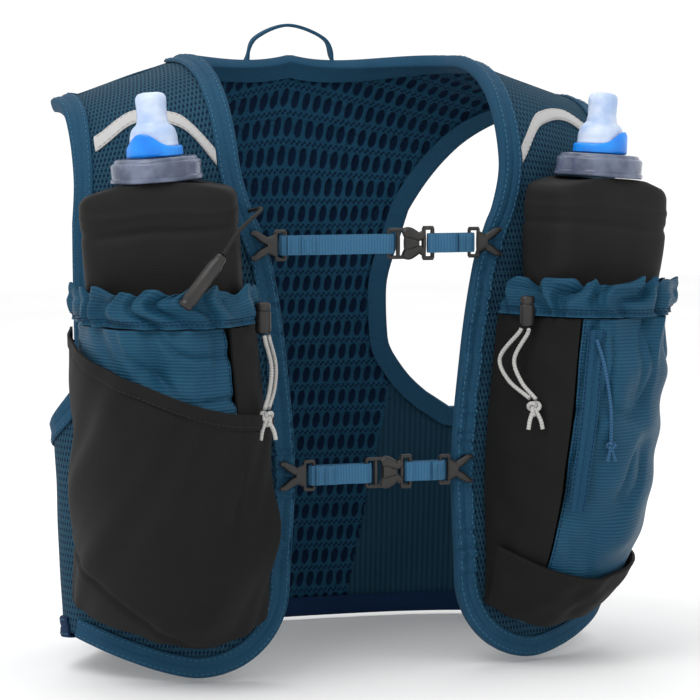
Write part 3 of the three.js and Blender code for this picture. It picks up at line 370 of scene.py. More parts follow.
def curve_through(points: Sequence[Sequence[float]], parts: int) -> Array:
    """Evenly spaced points on a smooth curve through these."""
    p = np.asarray(points, float)
    p = np.concatenate([[2 * p[0] - p[1]], p, [2 * p[-1] - p[-2]]])
    fine = []
    for a, b, c, d in zip(p[:-3], p[1:-2], p[2:-1], p[3:]):
        t = np.linspace(0, 1, 24, endpoint=False)[:, None]
        fine.append(0.5 * (2 * b + (c - a) * t + (2 * a - 5 * b + 4 * c - d) * t**2
                           + (3 * b - a - 3 * c + d) * t**3))
    fine = np.concatenate([*fine, p[-2:-1]])
    run = np.concatenate([[0], np.cumsum(np.linalg.norm(np.diff(fine, axis=0), axis=-1))])
    at = np.linspace(0, run[-1], parts + 1)
    return np.stack([np.interp(at, run, column) for column in fine.T], axis=-1)


def frames_along(path: Array, side: Sequence[float]) -> tuple[Array, Array]:
    """Two unit directions square to a path, the first as near to side as can be."""
    along = unit(np.gradient(path, axis=0))
    across = unit(np.cross(along, np.asarray(side, float)))
    return np.cross(across, along), across


def swept_grid(path: Array, section: Array, side: Sequence[float]) -> Array:
    """Grid of a section carried along a path, whose first axis keeps near to side."""
    first, across = frames_along(path, side)
    return path[:, None] + section[..., 0:1] * first[:, None] + section[..., 1:2] * across[:, None]


def add_rod(maker: MeshMaker, path: Array, section: Array, side: Sequence[float], finish: int = 0) -> None:
    """Adds a bar of a closed section along a path, with both ends closed."""
    section = np.concatenate([section, section[..., :1, :]], axis=-2)
    grid = swept_grid(path, np.broadcast_to(section, (len(path), *section.shape[-2:])), side)
    ends = [np.broadcast_to(grid[end].mean(axis=0), grid[end].shape) for end in (0, -1)]
    grid = np.concatenate([ends[:1], grid, ends[1:]])
    coords = cloth_coords(grid)
    first = np.cross(grid[2, 1] - grid[2, 0], grid[3, 0] - grid[2, 0])
    maker.add_grid(grid, coords, finish, turn=float(first @ (grid[2, 0] - path[1])) < 0)


def round_section(radius: float, sides: int) -> Array:
    """Points of a circle."""
    angle = np.linspace(0, 2 * math.pi, sides, endpoint=False)
    return radius * np.stack([np.cos(angle), np.sin(angle)], axis=-1)


def flat_section(width: float, wall: float, sides: int = 20, power: float = 6.0) -> Array:
    """Points of a flat strip with rounded edges, its wall along the first axis."""
    across, along = squircle(np.linspace(0, 2 * math.pi, sides, endpoint=False), power)
    return np.stack([across * wall / 2, along * width / 2], axis=-1)


class Socket(Enum):
    """Kinds of value that a node group takes or gives."""

    VALUE = "NodeSocketFloat"
    COLOUR = "NodeSocketColor"
    VECTOR = "NodeSocketVector"


@dataclass
class NodeSheet:
    """A node tree under construction, with short ways to add nodes and joins."""

    tree: bpy.types.NodeTree

    def node(self, kind: str, inputs: dict | None = None, **settings) -> bpy.types.Node:
        """Adds a node.

        Args:
            kind: The node's type.
            inputs: Values or other sockets for its inputs, by name or number.
            **settings: The node's own settings.

        Returns:
            The node.
        """
        made = self.tree.nodes.new(kind)
        for name, value in settings.items():
            setattr(made, name, value)
        for key, value in (inputs or {}).items():
            if isinstance(value, bpy.types.NodeSocket):
                self.tree.links.new(value, made.inputs[key])
            else:
                made.inputs[key].default_value = value
        return made

    def math(self, operation: str, a, b=0.0, c=0.0) -> bpy.types.NodeSocket:
        """Output of a Math node."""
        return self.node("ShaderNodeMath", {0: a, 1: b, 2: c}, operation=operation).outputs[0]

    def mix(self, share, a, b) -> bpy.types.NodeSocket:
        """A colour between two colours."""
        made = self.node("ShaderNodeMix", {0: share, 6: a, 7: b}, data_type="RGBA")
        return made.outputs[2]

    def ramp(self, value, low: float, high: float, start=0.0, end=1.0) -> bpy.types.NodeSocket:
        """A value mapped smoothly from one range to another."""
        inputs = {"Value": value, 1: low, 2: high, 3: start, 4: end}
        return self.node("ShaderNodeMapRange", inputs, interpolation_type="SMOOTHSTEP").outputs[0]

    def noise(self, place, scale: float, detail=3.0) -> bpy.types.NodeSocket:
        """Noise about 0.5, with this many bumps to the metre."""
        inputs = {"Vector": place, "Scale": scale, "Detail": detail}
        return self.node("ShaderNodeTexNoise", inputs).outputs[0]


def node_group(name: str, takes: dict, gives: dict) -> tuple[NodeSheet, bpy.types.Node, bpy.types.Node]:
    """Starts a shared effect.

    Args:
        name: The group's name.
        takes: Kind and default value of each input.
        gives: Kind of each output.

    Returns:
        Its sheet, its input node and its output node.
    """
    tree = bpy.data.node_groups.new(name, "ShaderNodeTree")
    for label, (kind, value) in takes.items():
        socket = tree.interface.new_socket(label, in_out="INPUT", socket_type=kind.value)
        socket.default_value = value
    for label, kind in gives.items():
        tree.interface.new_socket(label, in_out="OUTPUT", socket_type=kind.value)
    sheet = NodeSheet(tree)
    return sheet, sheet.node("NodeGroupInput"), sheet.node("NodeGroupOutput")


def grid_holes_group() -> bpy.types.NodeTree:
    """Oval holes in staggered rows, with small slits between the rows; the masks shape the bump and place
    painted shade.
    """
    takes = {
        "Place": (Socket.VECTOR, (0, 0, 0)),
        "Pitch": (Socket.VALUE, 0.0062),
        "Row Pitch": (Socket.VALUE, 0.0133),
        "Slits": (Socket.VALUE, 1.0),
    }
    s, i, o = node_group("Spacer Mesh", takes, {"Hole": Socket.VALUE, "Slit": Socket.VALUE})
    xyz = s.node("ShaderNodeSeparateXYZ", {0: i.outputs["Place"]})
    rows = s.math("DIVIDE", xyz.outputs[1], i.outputs["Row Pitch"])
    row = s.math("FLOOR", rows)
    up = s.math("SUBTRACT", s.math("SUBTRACT", rows, row), 0.5)
    shift = s.math("MULTIPLY", s.math("MODULO", row, 2.0), 0.5)
    lean = s.math("MULTIPLY", up, -0.32)
    columns = s.math("DIVIDE", xyz.outputs[0], i.outputs["Pitch"])
    across = s.math("ADD", s.math("ADD", columns, shift), lean)
    side = s.math("SUBTRACT", s.math("FRACT", across), 0.5)
    wide = s.math("POWER", s.math("ABSOLUTE", s.math("DIVIDE", side, 0.34)), 2.2)
    tall = s.math("POWER", s.math("ABSOLUTE", s.math("DIVIDE", up, 0.34)), 2.2)
    hole = s.ramp(s.math("ADD", wide, tall), 0.75, 1.2, 1.0, 0.0)
    half = s.math("SUBTRACT", s.math("FRACT", s.math("MULTIPLY", across, 2.0)), 0.5)
    edge = s.math("SUBTRACT", 0.5, s.math("ABSOLUTE", up))
    slit_wide = s.math("POWER", s.math("DIVIDE", half, 0.26), 2.0)
    slit_tall = s.math("POWER", s.math("DIVIDE", edge, 0.11), 2.0)
    slit = s.ramp(s.math("ADD", slit_wide, slit_tall), 0.5, 1.3, 1.0, 0.0)
    s.tree.links.new(hole, o.inputs["Hole"])
    s.tree.links.new(s.math("MULTIPLY", slit, i.outputs["Slits"]), o.inputs["Slit"])
    return s.tree


def ribs_group() -> bpy.types.NodeTree:
    """Ribs across the cloth, with finer threads along it."""
    takes = {
        "Place": (Socket.VECTOR, (0, 0, 0)),
        "Rib": (Socket.VALUE, 0.0021),
        "Thread": (Socket.VALUE, 0.0006),
        "Wander": (Socket.VALUE, 0.25),
    }
    s, i, o = node_group("Cloth Ribs", takes, {"Rib": Socket.VALUE, "Weave": Socket.VALUE})
    stray = s.math("SUBTRACT", s.noise(i.outputs["Place"], 60.0, 2.0), 0.5)
    xyz = s.node("ShaderNodeSeparateXYZ", {0: i.outputs["Place"]})
    turns = s.math("DIVIDE", xyz.outputs[1], i.outputs["Rib"])
    turns = s.math("ADD", turns, s.math("MULTIPLY", stray, i.outputs["Wander"]))
    rib = s.math("SINE", s.math("MULTIPLY", turns, 2 * math.pi))
    waves = []
    for axis in (0, 1):
        count = s.math("DIVIDE", xyz.outputs[axis], i.outputs["Thread"])
        waves.append(s.math("SINE", s.math("MULTIPLY", count, 2 * math.pi)))
    s.tree.links.new(s.math("MULTIPLY_ADD", rib, 0.5, 0.5), o.inputs["Rib"])
    s.tree.links.new(s.math("MULTIPLY_ADD", s.math("MULTIPLY", *waves), 0.5, 0.5), o.inputs["Weave"])
    return s.tree


def patches_group() -> bpy.types.NodeTree:
    """Slow and quick changes of tone over a surface."""
    takes = {"Place": (Socket.VECTOR, (0, 0, 0)), "Size": (Socket.VALUE, 0.03)}
    s, i, o = node_group("Tone Patches", takes, {"Broad": Socket.VALUE, "Fine": Socket.VALUE})
    scale = s.math("DIVIDE", 1.0, i.outputs["Size"])
    broad = s.node("ShaderNodeTexNoise", {"Vector": i.outputs["Place"], "Scale": scale, "Detail": 4.0})
    s.tree.links.new(s.ramp(broad.outputs[0], 0.3, 0.7), o.inputs["Broad"])
    s.tree.links.new(s.noise(i.outputs["Place"], 2600.0, 2.0), o.inputs["Fine"])
    return s.tree


@dataclass(frozen=True)
class Cloth:
    """A cloth finish: colours, ribs or holes with painted shade in them, and how it takes the light."""

    name: str
    colour: tuple[float, float, float]
    light: tuple[float, float, float]
    # deep: a darker tone that the fine random grain mixes towards; on meshes it is also painted shade on the
    # floors of the holes and slits
    deep: tuple[float, float, float]
    rib: float = 0.0012
    rib_show: float = 0.3
    thread: float = 0.0006
    roughness: float = 0.8
    sheen: float = 0.006
    bump: float = 0.0003
    pitch: float = 0.0
    row_pitch: float = 0.0
    edge_wear: float = 0.15
    upright: bool = False


@dataclass(frozen=True)
class Hard:
    """A moulded finish."""

    name: str
    colour: tuple[float, float, float]
    light: tuple[float, float, float]
    roughness: float = 0.45
    clear: float = 0.0
    ior: float = 1.46
    glow: float = 0.0


class Finish(Enum):
    """The vest's finishes."""

    # On MESH and FINE_MESH the third (deep) colour is painted shade on the hole and slit floors, as well as
    # the grain's darker tone
    MESH = Cloth("coarse_mesh", (0.006, 0.048, 0.096), (0.015, 0.088, 0.152), (0.0008, 0.011, 0.034),
                 pitch=HOLE_PITCH, row_pitch=HOLE_ROW_PITCH, roughness=0.85, bump=0.0007, rib_show=0.1)
    FINE_MESH = Cloth("fine_mesh", (0.016, 0.066, 0.105), (0.034, 0.105, 0.150), (0.002, 0.014, 0.038),
                      pitch=0.0021, row_pitch=0.0034, roughness=0.85, bump=0.0004, rib_show=0.1)
    STRIPES = Cloth("striped_knit", (0.004, 0.026, 0.052), (0.012, 0.050, 0.082), (0.002, 0.012, 0.030),
                    rib=STRIPE_PITCH, rib_show=0.8, bump=0.0004, upright=True)
    RIPSTOP = Cloth("ripstop", (0.003, 0.034, 0.072), (0.014, 0.088, 0.152), (0.001, 0.013, 0.036),
                    rib=0.0017, rib_show=0.55, roughness=0.46, sheen=0.03, bump=0.0003)
    TAPE = Cloth("edge_tape", (0.006, 0.044, 0.092), (0.022, 0.092, 0.158), (0.001, 0.012, 0.038),
                 rib=0.0011, rib_show=0.3, roughness=0.7)
    NAVY = Cloth("navy_tape", (0.002, 0.014, 0.050), (0.006, 0.030, 0.085), (0.001, 0.006, 0.022),
                 rib=0.0011, rib_show=0.3)
    STRETCH = Cloth("stretch_cloth", (0.0060, 0.0060, 0.0062), (0.014, 0.014, 0.0144), (0.003, 0.003, 0.0032),
                    rib=0.0009, rib_show=0.15, thread=0.0005, roughness=0.75, bump=0.0001)
    SLEEVE = Cloth("flask_sleeve", (0.0075, 0.0071, 0.0069), (0.018, 0.017, 0.0167), (0.0035, 0.0035, 0.0035),
                   rib=0.0014, rib_show=0.15, roughness=0.62, bump=0.0001)
    WEBBING = Cloth("webbing", (0.024, 0.095, 0.185), (0.055, 0.160, 0.270), (0.006, 0.032, 0.080),
                    rib=0.0016, rib_show=0.45, thread=0.0010, roughness=0.65, bump=0.0003)
    REFLECTIVE = Cloth("reflective", (0.40, 0.395, 0.39), (0.56, 0.55, 0.545), (0.28, 0.28, 0.28),
                       rib=0.0012, rib_show=0.2, roughness=0.38, sheen=0.0, bump=0.0001)
    CORD = Cloth("braided_cord", (0.36, 0.355, 0.345), (0.52, 0.515, 0.50), (0.15, 0.148, 0.144),
                 rib=0.0016, rib_show=0.6, thread=0.0008, roughness=0.6, bump=0.0002)
    NAVY_CORD = Cloth("navy_cord", (0.010, 0.055, 0.125), (0.050, 0.130, 0.230), (0.002, 0.015, 0.050),
                      rib=0.0016, rib_show=0.6, thread=0.0008, bump=0.0002)
    BLACK_CORD = Cloth("black_cord", (0.012, 0.012, 0.012), (0.035, 0.035, 0.035), (0.004, 0.004, 0.004),
                       rib=0.0016, rib_show=0.5, thread=0.0008, bump=0.0002)
    THREAD = Cloth("stitch_thread", (0.026, 0.105, 0.180), (0.060, 0.165, 0.260), (0.010, 0.045, 0.090),
                   rib=0.0006, rib_show=0.4, roughness=0.55)
    BLACK_PLASTIC = Hard("black_plastic", (0.008, 0.0072, 0.0068), (0.018, 0.016, 0.015), 0.36)
    CAP = Hard("smoky_cap", (0.075, 0.095, 0.155), (0.20, 0.235, 0.34), 0.12, clear=0.30)
    COLLAR = Hard("blue_collar", (0.002, 0.18, 0.72), (0.006, 0.26, 0.84), 0.26)
    NOZZLE = Hard("frosted_nozzle", (0.40, 0.54, 0.80), (0.66, 0.75, 0.90), 0.30, clear=0.18)


@dataclass
class Palette:
    """Makes each material once, from the shared node groups."""

    groups: dict[str, bpy.types.NodeTree] = field(default_factory=dict)
    made: dict[Finish, bpy.types.Material] = field(default_factory=dict)

    def __post_init__(self) -> None:
        self.groups = {"holes": grid_holes_group(), "ribs": ribs_group(), "patches": patches_group()}

    def __getitem__(self, finish: Finish) -> bpy.types.Material:
        """The finish's material, made on first use."""
        if finish not in self.made:
            dress = self._cloth if isinstance(finish.value, Cloth) else self._hard
            self.made[finish] = dress(finish.value)
        return self.made[finish]

    def _start(self, name: str) -> tuple[bpy.types.Material, NodeSheet, bpy.types.Node]:
        """An empty material with its sheet and shader."""
        material = bpy.data.materials.new(name)
        material.use_nodes = True
        sheet = NodeSheet(material.node_tree)
        sheet.tree.nodes.clear()
        shader = sheet.node("ShaderNodeBsdfPrincipled")
        sheet.node("ShaderNodeOutputMaterial", {0: shader.outputs[0]})
        return material, sheet, shader

    def _group(self, sheet: NodeSheet, name: str, inputs: dict) -> bpy.types.Node:
        """A shared effect placed in a material."""
        made = sheet.node("ShaderNodeGroup", node_tree=self.groups[name])
        for key, value in inputs.items():
            if isinstance(value, bpy.types.NodeSocket):
                sheet.tree.links.new(value, made.inputs[key])
            else:
                made.inputs[key].default_value = value
        return made

    def _cloth(self, look: Cloth) -> bpy.types.Material:
        """Material of a cloth."""
        material, s, shader = self._start(look.name)
        place = s.node("ShaderNodeUVMap", uv_map="cloth").outputs[0]
        if look.upright:
            place = s.node("ShaderNodeVectorRotate", {"Vector": place, "Angle": math.pi / 2},
                           rotation_type="Z_AXIS").outputs[0]
        solid = s.node("ShaderNodeTexCoord").outputs["Object"]
        ribs = self._group(s, "ribs", {"Place": place, "Rib": look.rib, "Thread": look.thread})
        patches = self._group(s, "patches", {"Place": solid})
        show = s.math("MULTIPLY", ribs.outputs["Rib"], look.rib_show)
        show = s.math("ADD", show, s.math("MULTIPLY", ribs.outputs["Weave"], 0.22))
        show = s.math("ADD", show, s.math("MULTIPLY", patches.outputs["Broad"], look.edge_wear))
        colour = s.mix(show, (*look.colour, 1), (*look.light, 1))
        grain = s.ramp(patches.outputs["Fine"], 0.35, 0.75)
        colour = s.mix(s.math("MULTIPLY", grain, 0.25), colour, (*look.deep, 1))
        height = s.math("ADD", s.math("MULTIPLY", ribs.outputs["Rib"], look.rib_show + 0.2),
                        s.math("MULTIPLY", ribs.outputs["Weave"], 0.35))
        if look.pitch:
            inputs = {"Place": place, "Pitch": look.pitch, "Row Pitch": look.row_pitch}
            holes = self._group(s, "holes", inputs)
            # Painted shade: the slits and holes take the dark deep colour, for the shadowed layer seen
            # through them
            colour = s.mix(holes.outputs["Slit"], colour, (*look.deep, 1))
            colour = s.mix(holes.outputs["Hole"], colour, (*look.deep, 1))
            height = s.math("SUBTRACT", height, holes.outputs["Hole"])
            height = s.math("SUBTRACT", height, s.math("MULTIPLY", holes.outputs["Slit"], 0.6))
        s.tree.links.new(colour, shader.inputs["Base Color"])
        rough = s.math("MULTIPLY_ADD", patches.outputs["Fine"], 0.2, look.roughness - 0.1)
        s.tree.links.new(rough, shader.inputs["Roughness"])
        shader.inputs["Sheen Weight"].default_value = look.sheen
        shader.inputs["Sheen Roughness"].default_value = 0.45
        shader.inputs["Specular IOR Level"].default_value = 0.13
        bump = s.node("ShaderNodeBump", {"Height": height, "Strength": 0.8, "Distance": look.bump})
        s.tree.links.new(bump.outputs[0], shader.inputs["Normal"])
        return material

    def _hard(self, look: Hard) -> bpy.types.Material:
        """Material of a moulded piece."""
        material, s, shader = self._start(look.name)
        solid = s.node("ShaderNodeTexCoord").outputs["Object"]
        patches = self._group(s, "patches", {"Place": solid, "Size": 0.012})
        colour = s.mix(patches.outputs["Broad"], (*look.colour, 1), (*look.light, 1))
        s.tree.links.new(colour, shader.inputs["Base Color"])
        rough = s.math("MULTIPLY_ADD", patches.outputs["Fine"], 0.22, look.roughness - 0.08)
        s.tree.links.new(rough, shader.inputs["Roughness"])
        shader.inputs["IOR"].default_value = look.ior
        shader.inputs["Transmission Weight"].default_value = look.clear
        if look.glow:
            s.tree.links.new(colour, shader.inputs["Emission Color"])
            shader.inputs["Emission Strength"].default_value = look.glow
        height = s.math("ADD", patches.outputs["Fine"], s.math("MULTIPLY", patches.outputs["Broad"], 0.5))
        bump = s.node("ShaderNodeBump", {"Height": height, "Strength": 0.35, "Distance": 0.0001})
        s.tree.links.new(bump.outputs[0], shader.inputs["Normal"])
        return material


class Side(Enum):
    """The wearer's sides, by the sign of x."""

    LEFT = 1
    RIGHT = -1

    @property
    def word(self) -> str:
        """The side's part of a node name."""
        return self.name.lower()

    def placed(self, points: Array) -> Array:
        """Points made for the left side, moved to this one."""
        return points if self is Side.LEFT else mirrored(points)


@dataclass
class Workshop:
    """What every sub-assembly needs: the form, the materials and how finely to build."""

    form: WornForm
    palette: Palette
    fineness: float

    def count(self, number: int) -> int:
        """A number of parts, fewer in a quick try."""
        return max(4, round(number * self.fineness))

    def finish(self, obj, slot: str, *nodes: str) -> None:
        """Hides the CAD nodes that a piece replaces.

        Args:
            obj: The piece; not used.
            slot: Name of a material slot; not used.
            *nodes: The CAD nodes that it replaces.
        """
        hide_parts(*nodes)


def spacer_holes(u: Array, v: Array, pitch: float, row_pitch: float) -> Array:
    """1 in the mesh's oval holes and 0 on its ridges, as the material draws them."""
    rows = v / row_pitch
    row = np.floor(rows)
    up = rows - row - 0.5
    across = u / pitch + np.mod(row, 2) * 0.5 - 0.32 * up
    side = across - np.floor(across) - 0.5
    size = np.abs(side / 0.34) ** 2.2 + np.abs(up / 0.34) ** 2.2
    return 1 - smooth_step(0.75, 1.2, size)


@dataclass
class Panels:
    """Back panel, front panels and flanks, with a coarse mesh inside and a fine one outside."""

    shop: Workshop
    wall: float = 0.0035
    hole_depth: float = 0.0014
    hem_corner: float = 0.044
    hem_rise: float = 0.018
    armpit_rise: float = 0.14
    armpit_level: float = 0.5
    stripe_start: float = 0.038
    stripe_slant: float = 0.050
    stripe_top: float = 0.62
    back_rows: tuple = ((0, 0.8), (0.18, 0.76), (0.36, 0.7), (0.5, 0.64), (0.54, 0.55), (0.6, 0.46),
                        (0.68, 0.395), (0.8, 0.385), (0.95, 0.44), (1.1, 0.51), (1.3, 0.62),
                        (1.55, 0.77), (1.8, 0.88), (2, 0.908))
    front_rows: tuple = ((0, 0.325, 0.955), (0.22, 0.31, 0.94), (0.45, 0.29, 0.93), (0.7, 0.315, 0.92),
                         (0.9, 0.355, 0.915), (1.05, 0.42, 0.91), (1.25, 0.455, 0.905),
                         (2, 0.466, 0.908))

    def back_place(self, row: Array, share: Array) -> tuple[Array, Array]:
        """Place on the back panel, from hem (0) to collar and ridge (2), and across from -1 to 1."""
        form = self.shop.form
        column = np.abs(share) * 9
        neck = form.neck_half * np.sin(np.clip(column / 6, 0, 1) * math.pi / 2)
        x_top = np.where(column <= 6, neck, lerp(form.neck_half, form.strap_half, (column - 6) / 3))
        level = row / 2 * np.where(column <= 6, form.collar_level(neck), 2.0)
        across = lerp(np.abs(share), x_top / form.strap_half, (row / 2) ** 2)
        x = across * smooth_table(self.back_rows, row) * form.half(level)
        return form.back_angle(x, level) * np.sign(share), level

    def front_edge(self, level: Array, column: int) -> Array:
        """How far an edge of the front panel lies from the middle: column 1 opening, 2 arm."""
        return smooth_table(self.front_rows, level, column) * self.shop.form.half(level)

    def hem_level(self, share: Array) -> Array:
        """Level of the front hem: a round corner at the opening, then a slow rise."""
        width = float(self.front_edge(0.0, 2) - self.front_edge(0.0, 1))
        along = share * width
        into = np.maximum(self.hem_corner - along, 0)
        corner = self.hem_corner - np.sqrt(self.hem_corner**2 - into**2)
        past = np.maximum((along - self.hem_corner) / (width - self.hem_corner), 0)
        return (corner + self.hem_rise * past**1.5) / self.shop.form.spring_height

    def front_place(self, row: Array, share: Array) -> tuple[Array, Array]:
        """Place on the left front panel, from hem (0) to ridge (1), and from opening to arm."""
        level = lerp(self.hem_level(share), 2.0, row)
        x = lerp(self.front_edge(level, 1), self.front_edge(level, 2), share)
        return self.shop.form.front_angle(x, level), level

    def flank_place(self, row: Array, share: Array) -> tuple[Array, Array]:
        """Place on the left flank, from hem (0) to armhole (1), and from back to front."""
        form = self.shop.form
        bottom = self.hem_level(np.ones_like(share)) * share
        level = lerp(bottom, self.armpit_level + self.armpit_rise * share**6, row)
        seam = row * self.armpit_level
        back = form.back_angle(smooth_table(self.back_rows, seam) * form.half(seam), seam)
        front = form.front_angle(self.front_edge(level, 2), level)
        return lerp(back, front, share), level

    def striped(self, angle: Array, level: Array) -> Array:
        """True where the back's inner face is striped knit: low down, past a slanting line."""
        across = np.abs(self.shop.form.point(angle, level)[..., 0])
        return (across > self.stripe_start + self.stripe_slant * level) & (level < self.stripe_top)

    def wall_of(self, name: str, place, rows: Array, shares: Array, inside: Finish, outside=Finish.FINE_MESH,
                side=Side.LEFT, holes: float = 0.0, stripes: bool = False):
        """Builds one panel.

        Args:
            name: The object's name.
            place: The panel's own place function.
            rows: Its row places.
            shares: Its column places.
            inside: Finish of the face next to the wearer.
            outside: Finish of the outer face.
            side: Which side it is on.
            holes: How deep the inner holes are.
            stripes: Whether the panel has the striped zone.

        Returns:
            The object.
        """
        form = self.shop.form.sided(side is Side.RIGHT)
        angle, level = place(rows[:, None], shares[None, :])
        u, v = form.flat(angle, level)
        soft = 0.0007 * noise(u * 28, v * 28, seed=len(name))
        depth = spacer_holes(u, v, HOLE_PITCH, HOLE_ROW_PITCH) * holes
        plain = self.striped(angle, level) if stripes else np.zeros(angle.shape, bool)
        depth = np.where(plain, 0.0003 + 0.0003 * np.cos(u * 2 * math.pi / STRIPE_PITCH), depth)
        puff = 0.0004 * np.sin(np.linspace(0, math.pi, len(rows)))[:, None]
        outer = form.lifted(angle, level, self.wall + puff + 0.4 * soft)
        inner = form.lifted(angle, level, depth + 0.3 * soft - puff)
        maker = MeshMaker()
        coords = np.stack([u, v], axis=-1)
        shown = np.where(plain[:-1, :-1], 2, 1).ravel()
        maker.add_shell(side.placed(outer), side.placed(inner), coords, (0, shown))
        palette = self.shop.palette
        return maker.build(name, [palette[outside], palette[inside], palette[Finish.STRIPES]])

    def build(self) -> None:
        """Makes the five panels."""
        count = self.shop.count
        rows, shares = np.linspace(0, 2, count(222)), np.linspace(-1, 1, 2 * count(82) + 1)
        back = self.wall_of("back_cloth", self.back_place, rows, shares, Finish.MESH, holes=self.hole_depth,
                            stripes=True)
        self.shop.finish(back, "mesh_cloth", "back_panel")
        for side in Side:
            rows, shares = np.linspace(0, 0.997, count(150)), np.linspace(0, 1, count(60))
            front = self.wall_of(f"front_cloth_{side.word}", self.front_place, rows, shares, Finish.MESH,
                                 side=side, holes=0.5 * self.hole_depth)
            self.shop.finish(front, "mesh_cloth", f"front_panel_{side.word}")
            rows, shares = np.linspace(0.005, 0.99, count(70)), np.linspace(0.001, 0.999, count(70))
            flank = self.wall_of(f"flank_cloth_{side.word}", self.flank_place, rows, shares, Finish.STRIPES,
                                 side=side)
            self.shop.finish(flank, "mesh_cloth", f"flank_{side.word}")


def stepped(form: WornForm, angle: Array, level: Array, step: Array) -> tuple[Array, Array]:
    """The places that steps in space lead to from other places.

    Args:
        form: The worn form.
        angle: Angles to start from.
        level: Levels to start from.
        step: Steps in space.

    Returns:
        Angles and levels.
    """
    target = form.point(angle, level) + step
    small = 1e-3
    for _ in range(4):
        around = (form.point(angle + small, level) - form.point(angle - small, level)) / (2 * small)
        up = (form.point(angle, level + small) - form.point(angle, level - small)) / (2 * small)
        left = target - form.point(angle, level)
        aa, au, uu = ((around * around).sum(-1), (around * up).sum(-1), (up * up).sum(-1))
        la, lu = (left * around).sum(-1), (left * up).sum(-1)
        scale = aa * uu - au * au
        angle = angle + (la * uu - lu * au) / scale
        level = level + (lu * aa - la * au) / scale
    return angle, level


def add_stitches(maker: MeshMaker, path: Array, normal: Array, pitch=0.0031, length=0.0019, thick=0.00042,
                 finish: int = 0) -> None:
    """Adds a row of stitches lying on a surface.

    Args:
        maker: Where they go.
        path: Points along the row.
        normal: The surface's direction at each.
        pitch: Distance from one stitch to the next.
        length: Length of a stitch.
        thick: Thickness of the thread.
        finish: Which of the object's materials they show.
    """
    run = np.concatenate([[0], np.cumsum(np.linalg.norm(np.diff(path, axis=0), axis=-1))])
    at = np.arange(pitch / 2, run[-1], pitch)
    centre = np.stack([np.interp(at, run, path[:, i]) for i in range(3)], axis=-1)
    out = unit(np.stack([np.interp(at, run, normal[:, i]) for i in range(3)], axis=-1))
    ahead = np.stack([np.interp(at + 1e-4, run, path[:, i]) for i in range(3)], axis=-1)
    along = unit(ahead - centre)
    across = np.cross(along, out)
    corners = np.array([(-1, -0.5, 0), (-1, 0.5, 0), (-1, 0.3, 0.5), (-1, -0.3, 0.5),
                        (1, -0.5, 0), (1, 0.5, 0), (1, 0.3, 0.5), (1, -0.3, 0.5)])
    sizes = corners * np.array([length / 2, thick * 1.5, thick])
    points = (centre[:, None] + sizes[:, 0:1] * along[:, None] + sizes[:, 1:2] * across[:, None]
              + sizes[:, 2:3] * out[:, None])
    box = np.array([(0, 1, 2, 3), (7, 6, 5, 4), (0, 4, 5, 1), (1, 5, 6, 2), (2, 6, 7, 3), (3, 7, 4, 0)])
    faces = (np.arange(len(at)) * 8)[:, None, None] + box
    coords = np.broadcast_to(corners[:, :2] * length / 2, (len(at), 8, 2))
    maker.add(points, faces, coords, finish)


